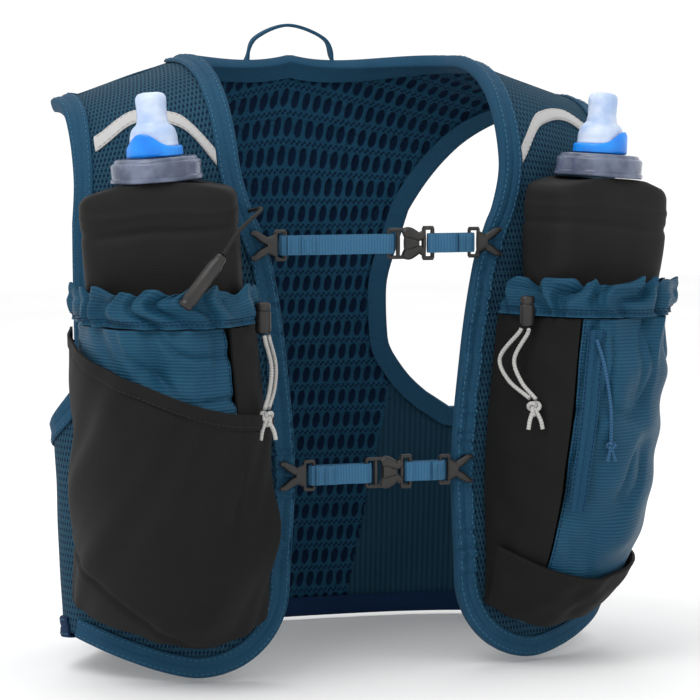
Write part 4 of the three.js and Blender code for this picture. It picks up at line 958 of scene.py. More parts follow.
@dataclass
class EdgeTapes:
    """Folded tapes round the panels' edges, puckered along the opening, with their stitches."""

    shop: Workshop
    panels: Panels
    width: float = 0.0095
    wall: float = 0.001
    slot: float = 0.0007
    tack_pitch: float = 0.025

    def _resampled(self, angle: Array, level: Array, spacing: float) -> tuple[Array, Array]:
        """A path of places, evenly spaced, stretch by stretch where it crosses the shoulder ridge."""
        jumps = np.flatnonzero(np.abs(np.diff(np.abs(angle))) > 1.0) + 1
        found = []
        for a, l in zip(np.split(angle, jumps), np.split(level, jumps)):
            points = self.shop.form.point(a, l)
            run = np.concatenate([[0], np.cumsum(np.linalg.norm(np.diff(points, axis=0), axis=-1))])
            at = np.linspace(0, run[-1], max(2, round(run[-1] / spacing * self.shop.fineness)))
            found.append((np.interp(at, run, a), np.interp(at, run, l)))
        return tuple(np.concatenate(parts) for parts in zip(*found))

    def tape(self, name: str, angle: Array, level: Array, inward: int, finish: Finish, nodes: Sequence[str],
             wrap=False, chain: Callable[[Array], Array] | None = None, mirror=False) -> None:
        """Builds a tape along a path of places.

        Args:
            name: The object's name.
            angle: The path's angles.
            level: The path's levels.
            inward: On which side of the path the panel lies.
            finish: The tape's finish.
            nodes: CAD nodes it replaces.
            wrap: Whether the path is a ring.
            chain: Says, by height, where the tape is puckered between tacks.
            mirror: Whether it belongs to the right side.
        """
        form = self.shop.form.sided(mirror)
        angle, level = self._resampled(angle, level, 0.0019)
        if wrap:
            angle, level = angle[:-1], level[:-1]
        here = form.point(angle, level)
        if wrap:
            along = np.roll(here, -1, axis=0) - np.roll(here, 1, axis=0)
        else:
            along = np.gradient(here, axis=0)
        out = form.out(angle, level)
        into = unit(np.cross(out, along)) * inward
        run = np.concatenate([[0], np.cumsum(np.linalg.norm(np.diff(here, axis=0), axis=-1))])
        pucker = chain(here[:, 2]) if chain else np.zeros(len(here))
        tack = np.exp(-((np.mod(run, self.tack_pitch) - self.tack_pitch / 2) / 0.0016) ** 2) * pucker
        wave = noise(run * 190, run * 60, seed=11) * lerp(0.00018, 0.0010, pucker)
        high = self.panels.wall + self.slot
        fold = -self.slot - self.wall
        share = np.array([1, 0.98, 0.86, 0.7, 0.56, 0.5, 0.44, 0.3, 0.14, 0.02])
        crown = np.array([0.35, 0.9, 1.1, 1.15, 0.9, 0.55, 0.9, 1.2, 1.15, 0.95])
        groove = np.where((share > 0.4) & (share < 0.6), 1 - 0.6 * pucker[:, None], 1)
        reach = self.width * (1 - 0.10 * tack + wave * 90)
        lift = high + self.wall * crown * groove * (1 - 0.55 * tack[:, None]) + wave[:, None] * (share < 0.9)
        outer, inner, flat = [], [], []
        for k, part in enumerate(share):
            distance = lerp(fold * 0.6, reach, part)
            place = stepped(form, angle, level, into * distance[:, None])
            outer.append(form.lifted(*place, lift[:, k]))
            inner.append(form.lifted(*place, np.full(len(run), high)))
            flat.append(np.stack([distance, run], axis=-1))
        turn = np.linspace(math.pi / 2, -math.pi / 2, 7)
        middle = (high - self.slot) / 2
        for bend in turn:
            half = (high + self.slot) / 2 + self.wall
            rim = stepped(form, angle, level, into * (fold * 0.6 + fold * 0.5 * math.cos(bend)))
            edge = stepped(form, angle, level, into * -self.slot)
            outer.append(form.lifted(*rim, np.full(len(run), middle + half * math.sin(bend))))
            inner.append(form.lifted(*edge, np.full(len(run), middle + (half - self.wall) * math.sin(bend))))
            flat.append(np.stack([np.full(len(run), -0.003 * (1 + bend)), run], axis=-1))
        for part in (0.14, 0.5, 0.86, 1):
            place = stepped(form, angle, level, into * (lerp(fold * 0.6, self.width, part)))
            outer.append(form.lifted(*place, np.full(len(run), -self.slot - self.wall)))
            inner.append(form.lifted(*place, np.full(len(run), -self.slot)))
            flat.append(np.stack([np.full(len(run), -0.006 - part * self.width), run], axis=-1))
        grids = [np.stack(grid, axis=1) for grid in (outer, inner)]
        if mirror:
            grids = [mirrored(grid) for grid in grids]
        maker = MeshMaker()
        maker.add_shell(*grids, np.stack(flat, axis=1), wrap=wrap)
        for k in (2, 8):
            row = grids[0][:, k] + 0.0001 * (mirrored(out) if mirror else out)
            add_stitches(maker, row, mirrored(out) if mirror else out, finish=1)
        palette = self.shop.palette
        made = maker.build(name, [palette[finish], palette[Finish.THREAD]])
        self.shop.finish(made, "edge_tape", *nodes)

    def build(self) -> None:
        """Makes the opening's tape, the hem's and those of the two arms."""
        panels, form = self.panels, self.shop.form
        hem = panels.front_place(np.zeros(60), np.linspace(1, 0, 60) ** 1.5)
        edge = panels.front_place(np.linspace(0.002, 1, 90), np.zeros(90))
        collar = panels.back_place(np.full(50, 2.0), np.linspace(6 / 9, 0, 50))
        half = [np.concatenate(parts) for parts in zip(hem, edge, collar)]
        angle = np.concatenate([half[0], -half[0][-2::-1]])
        level = np.concatenate([half[1], half[1][-2::-1]])
        strap = 0.224 - form.seat
        low = 0.03 - form.seat

        def chained(z: Array) -> Array:
            """1 where the tape is puckered, between the hem and the upper strap."""
            return (1 - smooth_step(strap - 0.004, strap + 0.012, z)) * smooth_step(low, low + 0.03, z)

        self.tape("opening_tape", angle, level, -1, Finish.TAPE, ["front_and_neck_tape"], chain=chained)
        flank = panels.flank_place(np.zeros(40), np.linspace(0.955, 0, 40))
        back = panels.back_place(np.zeros(40), np.linspace(0.999, 0, 40))
        half = [np.concatenate(parts) for parts in zip(flank, back)]
        angle = np.concatenate([half[0], -half[0][-2::-1]])
        level = np.concatenate([half[1], half[1][-2::-1]])
        self.tape("hem_tape", angle, level, 1, Finish.NAVY, ["back_hem_tape"])
        under = panels.flank_place(np.ones(40), np.linspace(0, 1, 40))
        climb = panels.front_place(np.linspace(0, 1, 90), np.ones(90))
        keep = climb[1] > panels.armpit_level + 1.2 * panels.armpit_rise
        rows = np.linspace(1.97, 0.54, 70)
        down = panels.back_place(rows, np.ones(70))
        parts = [under, (climb[0][keep], climb[1][keep]), down, (under[0][:1], under[1][:1])]
        angle, level = (np.concatenate([part[i] for part in parts]) for i in (0, 1))
        for side in Side:
            self.tape(f"arm_edge_{side.word}", angle, level, 1, Finish.TAPE, [f"arm_tape_{side.word}"],
                      wrap=True, mirror=side is Side.RIGHT)


@dataclass
class Pockets:
    """Gathered chest pockets, with their gussets, overlay, toe, zip and frills."""

    shop: Workshop
    panels: Panels
    depth: float = 0.066
    facing_angle: float = math.radians(17)
    power: float = 2.7
    bottom: float = 0.014
    top: float = 0.186
    margin: float = 0.13
    cloth: float = 0.0014
    gusset: float = math.radians(50)
    frill: float = 0.023
    folds: int = 10
    bulge_rows: tuple = ((0, 0.05), (0.05, 0.27), (0.14, 0.52), (0.3, 0.75), (0.5, 0.92), (0.75, 1),
                         (1, 1), (1.13, 1.04))

    @property
    def facing(self) -> Array:
        """The way that the pocket stands out."""
        return np.array([math.sin(self.facing_angle), -math.cos(self.facing_angle), 0.0])

    def base(self, turn: Array, up: Array) -> Array:
        """The bag's surface, from the opening side (0) round to the arm side (pi), and up (0 to 1)."""
        form = self.shop.form
        towards, bulge = squircle(turn, self.power)
        share = lerp(self.margin, 0.985, 0.5 - 0.5 * towards)
        foot = self.panels.hem_level(share) + self.bottom / form.spring_height
        level = lerp(foot, self.top / form.spring_height, up)
        x = lerp(self.panels.front_edge(level, 1), self.panels.front_edge(level, 2), share)
        seat = form.lifted(form.front_angle(x, level), level,
                           np.full(np.shape(level), self.panels.wall + 0.00035 + self.cloth))
        depth = self.depth * smooth_table(self.bulge_rows, up)
        return seat + self.facing * (depth * bulge)[..., None]

    def out(self, turn: Array, up: Array) -> Array:
        """Unit directions out of the bag."""
        step = 0.01
        around = self.base(turn + step, up) - self.base(turn - step, up)
        along = self.base(turn, up + step) - self.base(turn, up - step)
        return unit(np.cross(around, along))

    def on(self, turn: Array, up: Array, lift: Array) -> Array:
        """Points over the bag's surface."""
        turn, up, lift = np.broadcast_arrays(*(np.asarray(a, float) for a in (turn, up, lift)))
        return self.base(turn, up) + self.out(turn, up) * lift[..., None]

    def piece(self, name: str, side: Side, turns: Array, ups: Array, lift: Array, wall: float,
              finish: Finish, slot: str, nodes: Sequence[str], seams: Sequence = ()) -> None:
        """Builds one piece of cloth over the bag.

        Args:
            name: The object's name.
            side: Which pocket.
            turns: Grid of turns.
            ups: Grid of heights.
            lift: Grid of how far its outer face lies off the bag.
            wall: Its thickness.
            finish: Its finish.
            slot: Name of a material slot, passed on to Workshop.finish.
            nodes: CAD nodes that it replaces.
            seams: Rows of stitches, each a row or column index of the grid.
        """
        outer, inner = self.on(turns, ups, lift), self.on(turns, ups, lift - wall)
        outer, inner = side.placed(outer), side.placed(inner)
        maker = MeshMaker()
        maker.add_shell(outer, inner, cloth_coords(outer))
        normal = side.placed(self.out(turns, ups))
        for seam in seams:
            add_stitches(maker, outer[seam] + 0.00008 * normal[seam], normal[seam], pitch=0.0027,
                         length=0.0017, thick=0.00034, finish=1)
        palette = self.shop.palette
        thread = Finish.NAVY if finish in (Finish.RIPSTOP, Finish.TAPE) else Finish.BLACK_CORD
        made = maker.build(name, [palette[finish], palette[thread]])
        self.shop.finish(made, slot, *nodes)

    def _wrinkles(self, turns: Array, ups: Array, seed: int) -> Array:
        """Lift of thin cloth that is gathered at its top and creased below."""
        gathers = np.cos(turns * 9.5 + noise(turns * 1.3, ups * 2, seed) * 1.4) ** 3
        creases = noise(turns * 1.5 + ups * 3.1, ups * 5 - turns * 1.1, seed + 1)
        sharp = np.abs(noise(turns * 1.1 - ups * 2.2, ups * 3.6 + turns, seed + 2))
        top = smooth_step(0.6, 1.0, ups)
        edge = np.sin(np.clip(turns / math.pi, 0, 1) * math.pi) ** 0.5
        return (0.0028 * gathers * top + 0.0026 * creases * edge - 0.0026 * np.exp(-(sharp * 5) ** 2)) * edge

    def build(self) -> None:
        """Makes both pockets."""
        count = self.shop.count
        for side in Side:
            ups = np.linspace(0.02, 0.999, count(110))[:, None]
            turns = np.linspace(0.06, self.gusset, count(34))[None, :]
            turns, ups = np.broadcast_arrays(turns, ups)
            lift = 0.0007 * noise(turns * 2.6, ups * 7, 5) * np.sin((turns - 0.06) / self.gusset * math.pi)
            self.piece(f"gusset_cloth_{side.word}", side, turns, ups, lift, self.cloth, Finish.STRETCH,
                       "black_cloth", [f"pocket_gusset_{side.word}"])
            ups = np.linspace(0.02, 0.999, count(130))[:, None]
            turns = np.linspace(self.gusset + 0.02, math.pi - 0.06, count(104))[None, :]
            turns, ups = np.broadcast_arrays(turns, ups)
            lift = self._wrinkles(turns, ups, 20 + side.value)
            lift *= smooth_step(0.14, 0.3, ups)
            if side is Side.RIGHT:
                share = (turns - 0.34) / (math.pi - 0.46)
                covered = self.mouth(np.clip(share, 0, 1))
                lift *= smooth_step(covered - 0.03, covered + 0.03, ups)
            self.piece(f"bag_cloth_{side.word}", side, turns, ups, lift, self.cloth, Finish.RIPSTOP,
                       "ripstop", [f"pocket_face_{side.word}"], [np.s_[:, 1]])
            self._frill(side)
        self._overlay()
        self._toe()
        self._zip()

    def _frill(self, side: Side) -> None:
        """The gathered top, with its drawn channel and uneven folds."""
        count = self.shop.count
        share = np.linspace(0, 1, count(300))[None, :]
        up = np.linspace(0, 1, count(30))[:, None]
        share, up = np.broadcast_arrays(share, up)
        swing = share + 0.046 * noise(share * 6, up * 1.1, 31 + side.value)
        fold = np.cos(2 * math.pi * self.folds * swing)
        small = np.cos(2 * math.pi * 2.3 * self.folds * swing + 2 * noise(share * 9, up, 33))
        rise = 1 + 0.5 * noise(share * 6, 0 * up, 35 + side.value)
        tall = self.frill * (0.88 + 0.085 * fold * up * rise + 0.03 * small * up) + 0.0022 * (rise - 1)
        ups = 1 + (0.0007 + up * tall) / self.top
        drawn = np.exp(-(((up - 0.12) / 0.09) ** 2)) + 0.6 * np.exp(-(((up - 0.72) / 0.1) ** 2))
        body = np.sin(math.pi * lerp(0.12, 0.9, up)) ** 0.7
        lift = 0.0020 + 0.0026 * fold * body * rise + 0.0007 * small * (0.4 + up) - 0.0013 * drawn
        ring = np.linspace(0.12, math.pi - 0.12, 241)
        rim = self.base(ring, np.ones(len(ring)))
        run = np.concatenate([[0], np.cumsum(np.linalg.norm(np.diff(rim, axis=0), axis=-1))])
        turns = np.interp(share * run[-1], run, ring)
        seams = [np.s_[max(1, count(30) // 9), :], np.s_[max(2, count(30) // 5), :]]
        self.piece(f"frill_{side.word}", side, turns, ups, lift, self.cloth * 0.8, Finish.RIPSTOP, "ripstop",
                   [f"pocket_ruffle_{side.word}"], seams)

    def mouth(self, share: Array) -> Array:
        """Height of the overlay's slanting mouth."""
        return lerp(0.132, 0.182, share**1.3) / self.top

    def _overlay(self) -> None:
        """The right pocket's stretch overlay, hemmed at its mouth."""
        count = self.shop.count
        share = np.linspace(0, 1, count(114))[None, :]
        row = np.linspace(0, 1, count(114))[:, None]
        share, row = np.broadcast_arrays(share, row)
        turns = lerp(0.34, math.pi - 0.12, share)
        mouth = self.mouth(share)
        ups = lerp(0.04, mouth, row)
        below = (mouth - ups) * self.top
        hem = 0.0007 * (1 - smooth_step(0.0075, 0.009, below))
        hem = hem - 0.0006 * np.exp(-((below - 0.009) / 0.0007) ** 2)
        seam = turns - (self.gusset + 0.16 * (1 - row))
        dart = -0.0011 * np.exp(-((seam / 0.022) ** 2)) * smooth_step(0.25, 0.6, row)
        lower = ups - lerp(0.045, 0.235, smooth_step(0.35, 1.0, share))
        foot = -0.0012 * np.exp(-((lower / 0.011) ** 2)) * smooth_step(0.3, 0.45, share)
        pulls = 0.0026 * noise(turns * 1.1 + ups, ups * 2.4 - 0.5 * turns, 41)
        creases = 0.0008 * noise(turns * 3.1 + ups * 4, ups * 3, 43)
        lift = 0.0040 + hem + dart + foot + pulls * np.sin(math.pi * row) + creases
        self.piece("overlay_cloth", Side.RIGHT, turns, ups, lift, self.cloth, Finish.STRETCH, "black_cloth",
                   ["pocket_overlay_right"], [np.s_[round(count(114) * 0.94), :]])

    def _toe(self) -> None:
        """The left pocket's dark toe."""
        count = self.shop.count
        share = np.linspace(0, 1, count(110))[None, :]
        row = np.linspace(0, 1, count(40))[:, None]
        share, row = np.broadcast_arrays(share, row)
        turns = lerp(0.34, math.pi - 0.12, share)
        top = lerp(0.044, 0.026, share) / self.top
        ups = lerp(0.04, top, row)
        folds = 0.0012 * np.cos(share * 22 + 3 * row) * np.exp(-(((share - 0.42) / 0.14) ** 2))
        lift = 0.0038 + folds + 0.0007 * noise(turns * 3, ups * 16, 51) * np.sin(math.pi * row)
        self.piece("toe_cloth", Side.LEFT, turns, ups, lift, self.cloth, Finish.STRETCH, "black_cloth",
                   ["pocket_toe_left"], [np.s_[-2, :]])

    def _zip(self) -> None:
        """The left pocket's zip: a tape, with two rows of coils down its middle."""
        count = self.shop.count
        start = self.gusset + 0.08
        wide = 0.9 * 0.011 / self.depth
        share = np.linspace(0, 1, count(24))[None, :]
        row = np.linspace(0, 1, count(160))[:, None]
        share, row = np.broadcast_arrays(share, row)
        turns = start + wide * share
        ups = lerp(0.076, 0.180, row) / self.top
        middle = np.exp(-(((share - 0.5) / 0.13) ** 2))
        coils = 0.0003 * np.cos(row * 2 * math.pi * 62 + math.pi * (share > 0.5)) * middle
        rims = 0.0007 * (1 - smooth_step(0.06, 0.16, np.minimum(share, 1 - share)))
        split = -0.0009 * np.exp(-(((share - 0.5) / 0.025) ** 2))
        lift = 0.0014 + 0.0007 * middle + coils + rims + split
        last = share.shape[1] - 1
        self.piece("zip_tape", Side.LEFT, turns, ups, lift, 0.0009, Finish.TAPE, "edge_tape",
                   ["pocket_zip_left"], [np.s_[:, max(1, last // 9)], np.s_[:, last - max(1, last // 9)]])


def lathe(radius: Array, height: Array, sides: int) -> Array:
    """Grid of points turned about z, whose radius and height may change with the angle.

    Args:
        radius: Radii by row, or by row and side.
        height: Heights by row, or by row and side.
        sides: How many sides.

    Returns:
        The grid, with its first column repeated at the end.
    """
    angle = np.linspace(0, 2 * math.pi, sides + 1)
    radius, height, angle = np.broadcast_arrays(*(np.atleast_2d(a) for a in (radius, height, angle[None, :])))
    return np.stack([radius * np.cos(angle), radius * np.sin(angle), height], axis=-1)


@dataclass
class Flasks:
    """Soft flasks in black sleeves, with a clear cap, a blue collar and a frosted nozzle."""

    shop: Workshop
    width: float = 0.079
    depth: float = 0.046
    height: float = 0.186
    foot: tuple[float, float, float] = (0.108, -0.1064, 0.072)
    turn: float = math.radians(20)
    lean_out: float = math.radians(4)
    lean_back: float = math.radians(0.5)
    cap_radius: float = 0.0235
    cap_height: float = 0.012
    stem_radius: float = 0.005
    stem_height: float = 0.016
    valve_radius: float = 0.0124
    neck_radius: float = 0.0078
    collar_height: float = 0.005
    nozzle_height: float = 0.027
    gap: float = 0.00035
    rows: tuple = ((0, 0.5, 0.4), (0.03, 0.7, 0.6), (0.12, 0.84, 0.8), (0.3, 0.91, 0.92), (0.55, 0.98, 1),
                   (0.8, 1.0, 1), (0.9, 1.0, 0.97), (0.955, 1.0, 0.94), (0.982, 0.94, 0.90),
                   (1, 0.66, 0.84))

    def seated(self, points: Array, side: Side) -> Array:
        """Points in the flask's own frame, moved to its seat in a pocket."""
        c, s = math.cos(self.turn), math.sin(self.turn)
        x, y, z = np.moveaxis(points, -1, 0)
        x, y = x * c - y * s, x * s + y * c
        c, s = math.cos(-self.lean_back), math.sin(-self.lean_back)
        y, z = y * c - z * s, y * s + z * c
        c, s = math.cos(self.lean_out), math.sin(self.lean_out)
        x, z = x * c + z * s, -x * s + z * c
        seat = np.array(self.foot) - np.array([0, 0, self.shop.form.seat])
        return side.placed(np.stack([x, y, z], axis=-1) + seat)

    def _body(self, side: Side) -> None:
        """The sleeved bag, squared at its shoulders and creased round them."""
        count = self.shop.count
        along = np.linspace(0, 1, count(130)) ** 0.9
        angle = np.linspace(0, 2 * math.pi, count(116) + 1)
        power = lerp(2.4, 4.2, smooth_step(0.62, 0.88, along))[:, None]
        x, y = squircle(angle[None, :], power)
        wide = smooth_table(self.rows, along, 1)[:, None] * self.width / 2
        deep = smooth_table(self.rows, along, 2)[:, None] * self.depth / 2
        wave = noise(angle * 0.9, along[:, None] * 2.2, 61 + side.value)
        crease = np.exp(-(((along[:, None] - 0.865 - 0.006 * wave) / 0.011) ** 2))
        upper = np.exp(-(((along[:, None] - 0.915 - 0.008 * wave) / 0.009) ** 2))
        fine = noise(angle * 2.1, along[:, None] * 4, 63) * smooth_step(0.5, 0.8, along)[:, None]
        shrink = 1 - 0.050 * crease + 0.026 * upper - 0.006 * fine + 0.009 * wave
        points = np.stack([wide * x * (1 - 0.35 * (1 - shrink)), deep * y * shrink,
                           np.broadcast_to(along[:, None] * self.height, x.shape)], axis=-1)
        points[..., 2] -= 0.0022 * smooth_step(0.88, 1.0, along)[:, None] * np.abs(x) ** 3
        rings = [np.broadcast_to(points[end].mean(axis=0), points[end].shape) for end in (0, -1)]
        points = np.concatenate([rings[:1], points, rings[1:]])
        maker = MeshMaker()
        maker.add_grid(self.seated(points, side), cloth_coords(points), turn=side is Side.RIGHT)
        made = maker.build(f"sleeve_{side.word}", [self.shop.palette[Finish.SLEEVE]])
        self.shop.finish(made, "black_cloth", f"flask_body_{side.word}")

    def _turned(self, name: str, side: Side, profile: Sequence, finish: Finish, slot: str, node: str,
                body: str, shape: Callable | None = None) -> None:
        """Builds a turned piece.

        Args:
            name: The object's name.
            side: Which flask.
            profile: Rows of (radius, height), from the axis to the axis or back to the first row.
            finish: Its finish.
            slot: Name of a material slot, passed on to Workshop.finish.
            node: The CAD node that it replaces.
            body: The moving body that it rides on.
            shape: Changes the grid of points, if given.
        """
        rows = []
        for (r0, h0), (r1, h1) in zip(profile[:-1], profile[1:]):
            parts = max(1, round(math.hypot(r1 - r0, h1 - h0) / 0.0006 * self.shop.fineness))
            rows += [(lerp(r0, r1, k / parts), lerp(h0, h1, k / parts)) for k in range(parts)]
        rows.append(profile[-1])
        radius, height = (np.array(column)[:, None] for column in zip(*rows))
        points = lathe(radius, height, self.shop.count(72))
        if shape:
            points = shape(points)
        maker = MeshMaker()
        maker.add_grid(self.seated(points, side), cloth_coords(points), turn=side is Side.RIGHT)
        made = maker.build(f"{name}_{side.word}", [self.shop.palette[finish]], body)
        self.shop.finish(made, slot, f"{node}_{side.word}")

    def build(self) -> None:
        """Makes both flasks."""
        foot = self.height + self.gap
        top = foot + self.cap_height
        stem = top + self.stem_height
        cap, small = self.cap_radius, 0.0006

        def grips(points: Array) -> Array:
            """Cuts upright grooves in the cap's rim."""
            angle = np.arctan2(points[..., 1], points[..., 0])
            radius = np.hypot(points[..., 0], points[..., 1])
            on_rim = smooth_step(cap - 0.0012, cap - 0.0002, radius) * (points[..., 2] > foot + 0.0028)
            groove = np.exp(-((np.sin(angle * 5) / 0.10) ** 2)) * on_rim * 0.0007
            keep = (radius - groove) / np.maximum(radius, 1e-6)
            return points * np.stack([keep, keep, np.ones_like(keep)], axis=-1)

        rim = lerp(foot, top, 0.78)
        cap_profile = [(0, foot), (cap - small, foot), (cap, foot + small), (cap, foot + 0.0022),
                       (cap - 0.0007, foot + 0.0027), (cap - 0.0005, rim - 0.0004),
                       (cap - 0.0012, rim + 0.0006),
                       (cap - 0.0022, rim + 0.0009), (cap - 0.0026, top - small), (cap - 0.0034, top),
                       (cap - 0.0065, top), (cap - 0.0072, top - 0.0004), (self.stem_radius, top - 0.0004),
                       (self.stem_radius, stem - small), (self.stem_radius - small, stem), (0, stem)]
        low = top + self.gap
        high = low + self.collar_height
        bore, wide = self.stem_radius + self.gap, self.valve_radius + 0.0017

        def hump(points: Array) -> Array:
            """Raises the collar's rim into a thumb tab over the nozzle's side."""
            angle = np.arctan2(points[..., 1], points[..., 0])
            radius = np.hypot(points[..., 0], points[..., 1])
            outer = smooth_step(self.valve_radius + 0.0004, self.valve_radius + 0.0008, radius)
            rise = np.exp(-((np.abs(angle + 1.2) / 0.66) ** 2.4)) * outer
            rise = rise * smooth_step(low, high, points[..., 2])
            lifted = points.copy()
            lifted[..., 2] += 0.0070 * rise
            return lifted

        collar_profile = [(bore, low), (wide - small, low), (wide + 0.0003, low + small),
                          (wide + 0.0001, high - 0.0008), (wide - 0.0004, high),
                          (wide - 0.0010, high - 0.0004),
                          (self.valve_radius + 0.0003, high - 0.0016), (bore, high - 0.0016), (bore, low)]
        base = high + self.gap - 0.0014
        neck, bulge, tall = self.neck_radius, self.valve_radius - 0.0001, self.nozzle_height + 0.0014
        nozzle_rows = ((0, bulge - 0.0012), (0.05, bulge), (0.15, bulge - 0.0002), (0.27, bulge - 0.0006),
                       (0.36, lerp(neck, bulge, 0.62)), (0.46, neck + 0.0003), (0.6, neck - 0.0002),
                       (0.88, neck), (0.95, neck - 0.0008), (0.985, neck - 0.0022), (1, neck - 0.0042))
        shape = [(float(smooth_table(nozzle_rows, u)), base + tall * u) for u in np.linspace(0, 1, 46)]
        inside = stem + self.gap
        mouth = [(0.0011, base + tall), (0.0009, base + tall - 0.002), (0, base + tall - 0.002)]
        nozzle_profile = [(0, inside), (bore, inside), (bore, base), *shape, *mouth]

        def ripples(points: Array) -> Array:
            """Gives the soft nozzle faint rings and a slightly uneven wall."""
            angle = np.arctan2(points[..., 1], points[..., 0])
            rings = 0.006 * np.sin(points[..., 2] * 2 * math.pi / 0.0045)
            keep = 1 + rings * (points[..., 2] > base + 0.0008) + 0.006 * np.cos(3 * angle)
            return points * np.stack([keep, keep, np.ones_like(keep)], axis=-1)

        for side in Side:
            self._body(side)
            self._turned("cap", side, cap_profile, Finish.CAP, "clear_plastic", "flask_cap", "vest", grips)
            valve = f"valve_{side.word}"
            self._turned("collar", side, collar_profile, Finish.COLLAR, "blue_plastic", "valve_collar",
                         valve, hump)
            self._turned("nozzle", side, nozzle_profile, Finish.NOZZLE, "silicone", "valve_nozzle",
                         valve, ripples)


@dataclass
class Straps:
    """Chest webbing, folded round its bars and sewn, with moulded clips and buckles."""

    shop: Workshop
    wall: float = 0.0012
    names: tuple[str, str] = ("upper", "lower")

    def _web(self, name: str, folded_at: int) -> None:
        """Builds one web over the space that its CAD solid takes.

        Args:
            name: The web's node.
            folded_at: Which end its sewn fold lies at, 1 for the larger x.
        """
        low, high = (np.array(corner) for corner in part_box(name))
        middle, half = (low + high) / 2, (high - low) / 2
        reach, loop, tall = half[0], half[1] - self.wall / 2, half[2] - 0.0002
        turn = np.linspace(-math.pi / 2, math.pi / 2, 14)
        run = np.linspace(-1, 1, self.shop.count(90))[1:-1]
        front = [(reach - loop) * run, -loop + 0.00045 * np.sin(run * 5 + reach * 400)]
        right = [(reach - loop) + loop * np.cos(turn), loop * np.sin(turn)]
        rear = [-(reach - loop) * run, loop + 0 * run]
        left = [-(reach - loop) - loop * np.cos(turn), -loop * np.sin(turn)]
        x, y = (np.concatenate([part[k] for part in (front, right, rear, left)]) for k in (0, 1))
        path = np.stack([x, y, 0 * x], axis=-1)
        normal = np.stack([y * 0, y * 0, y * 0 + 1], axis=-1)
        across = unit(np.cross(np.gradient(path, axis=0), normal))
        maker = MeshMaker()
        span = np.linspace(-1, 1, 9)
        crown = (1 - 0.35 * np.abs(span) ** 6) * self.wall / 2
        grids = []
        for way in (1, -1):
            grid = path[:, None] + way * across[:, None] * crown[None, :, None]
            grid = grid + normal[:, None] * span[None, :, None] * tall
            grids.append(grid + middle)
        run_on = np.concatenate([[0], np.cumsum(np.linalg.norm(np.diff(path, axis=0), axis=-1))])
        coords = np.stack(np.broadcast_arrays(span[None, :] * tall, run_on[:, None]), axis=-1)
        maker.add_shell(*grids, coords, wrap=True)
        self._fold(maker, middle, reach, loop, tall, folded_at)
        palette = self.shop.palette
        made = maker.build(f"{name}_cloth", [palette[Finish.WEBBING], palette[Finish.THREAD]])
        self.shop.finish(made, "webbing", name)

    def _fold(self, maker: MeshMaker, middle: Array, reach: float, loop: float, tall: float,
              way: int) -> None:
        """Adds the web's sewn end: one more layer on its face, with rows of stitches."""
        face = -loop - self.wall
        ends = [reach - loop - 0.0005, max(0.25 * reach, reach - 0.017)]
        run = np.linspace(*ends, self.shop.count(40))
        for start, thick in ((0, 1.0), (len(run) // 2, 1.5)):
            part = run[start:]
            depth = np.full(len(part), face - (thick - 1) * self.wall)
            path = np.stack([way * part, depth, 0 * part], axis=-1)
            section = flat_section(2 * tall * (1 - 0.02 * thick), 0.9 * self.wall)
            add_rod(maker, path + middle, section, (0, 1, 0))
        for share in (0.12, 0.42, 0.62, 0.9):
            x = way * lerp(ends[0], ends[1], share)
            depth = face - self.wall * (0.5 if share < 0.5 else 1.0) - 0.0001
            z = np.linspace(-0.8 * tall, 0.8 * tall, 12)
            row = np.stack([np.full(12, x), np.full(12, depth), z], axis=-1) + middle
            normal = np.tile([0.0, -1.0, 0.0], (12, 1))
            add_stitches(maker, row, normal, pitch=0.0018, length=0.0012, thick=0.0003, finish=1)

    def build(self) -> None:
        """Makes the webs, and dresses the moulded pieces."""
        for name in self.names:
            self._web(f"{name}_web_right", -1)
            self._web(f"{name}_web_left", 1)
            self._moulded(f"{name}_clip_right", -1, self._hooks)
            self._moulded(f"{name}_clip_left", 1, self._hooks)
            self._moulded(f"{name}_buckle_prongs", 1, self._ladder)
            self._moulded(f"{name}_buckle_socket", 1, self._bone)

    def _moulded(self, name: str, way: int, shape: Callable) -> None:
        """Builds a clip or a buckle half in the box of its CAD solid.

        Args:
            name: The CAD node.
            way: Which way its far end points, 1 for larger x.
            shape: Adds its parts, in shares of the box from the near end to the far one.
        """
        low, high = (np.array(corner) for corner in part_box(name))
        middle, half = (low + high) / 2, (high - low) / 2
        maker = MeshMaker()

        def rod(rows: Sequence[tuple[float, ...]]) -> None:
            """Adds a rounded rod through rows of (along, up, half height, half depth)."""
            rows = curve_through(rows, 22)
            path = rows[:, :2] * (way * half[0], half[2])
            path = np.stack([path[:, 0], 0 * path[:, 0], path[:, 1]], axis=-1) + middle
            turn = np.linspace(0, 2 * math.pi, 16, endpoint=False)
            c, s = squircle(turn, 3.0)
            section = np.stack([rows[:, 3:4] * half[1] * c, rows[:, 2:3] * half[2] * s], axis=-1)
            add_rod(maker, path, section, (0, 1, 0))

        shape(rod)
        made = maker.build(f"{name}_moulding", [self.shop.palette[Finish.BLACK_PLASTIC]])
        self.shop.finish(made, "black_plastic", name)

    @staticmethod
    def _loop(rod: Callable, near: float, far: float) -> None:
        """Adds a frame for the web: two bars across and two along, with a window between.

        Args:
            rod: Adds a rounded rod.
            near: Where its first bar across lies, as a share of the half length.
            far: Where its second one lies.
        """
        for along in (near, far):
            rod([(along, -0.9, 0.10, 0.5), (along, 0, 0.12, 0.62), (along, 0.9, 0.10, 0.5)])
        for up in (-0.88, 0.88):
            middle = (near + far) / 2
            rod([(near - 0.02, up, 0.12, 0.5), (middle, up, 0.12, 0.55), (far + 0.02, up, 0.12, 0.5)])

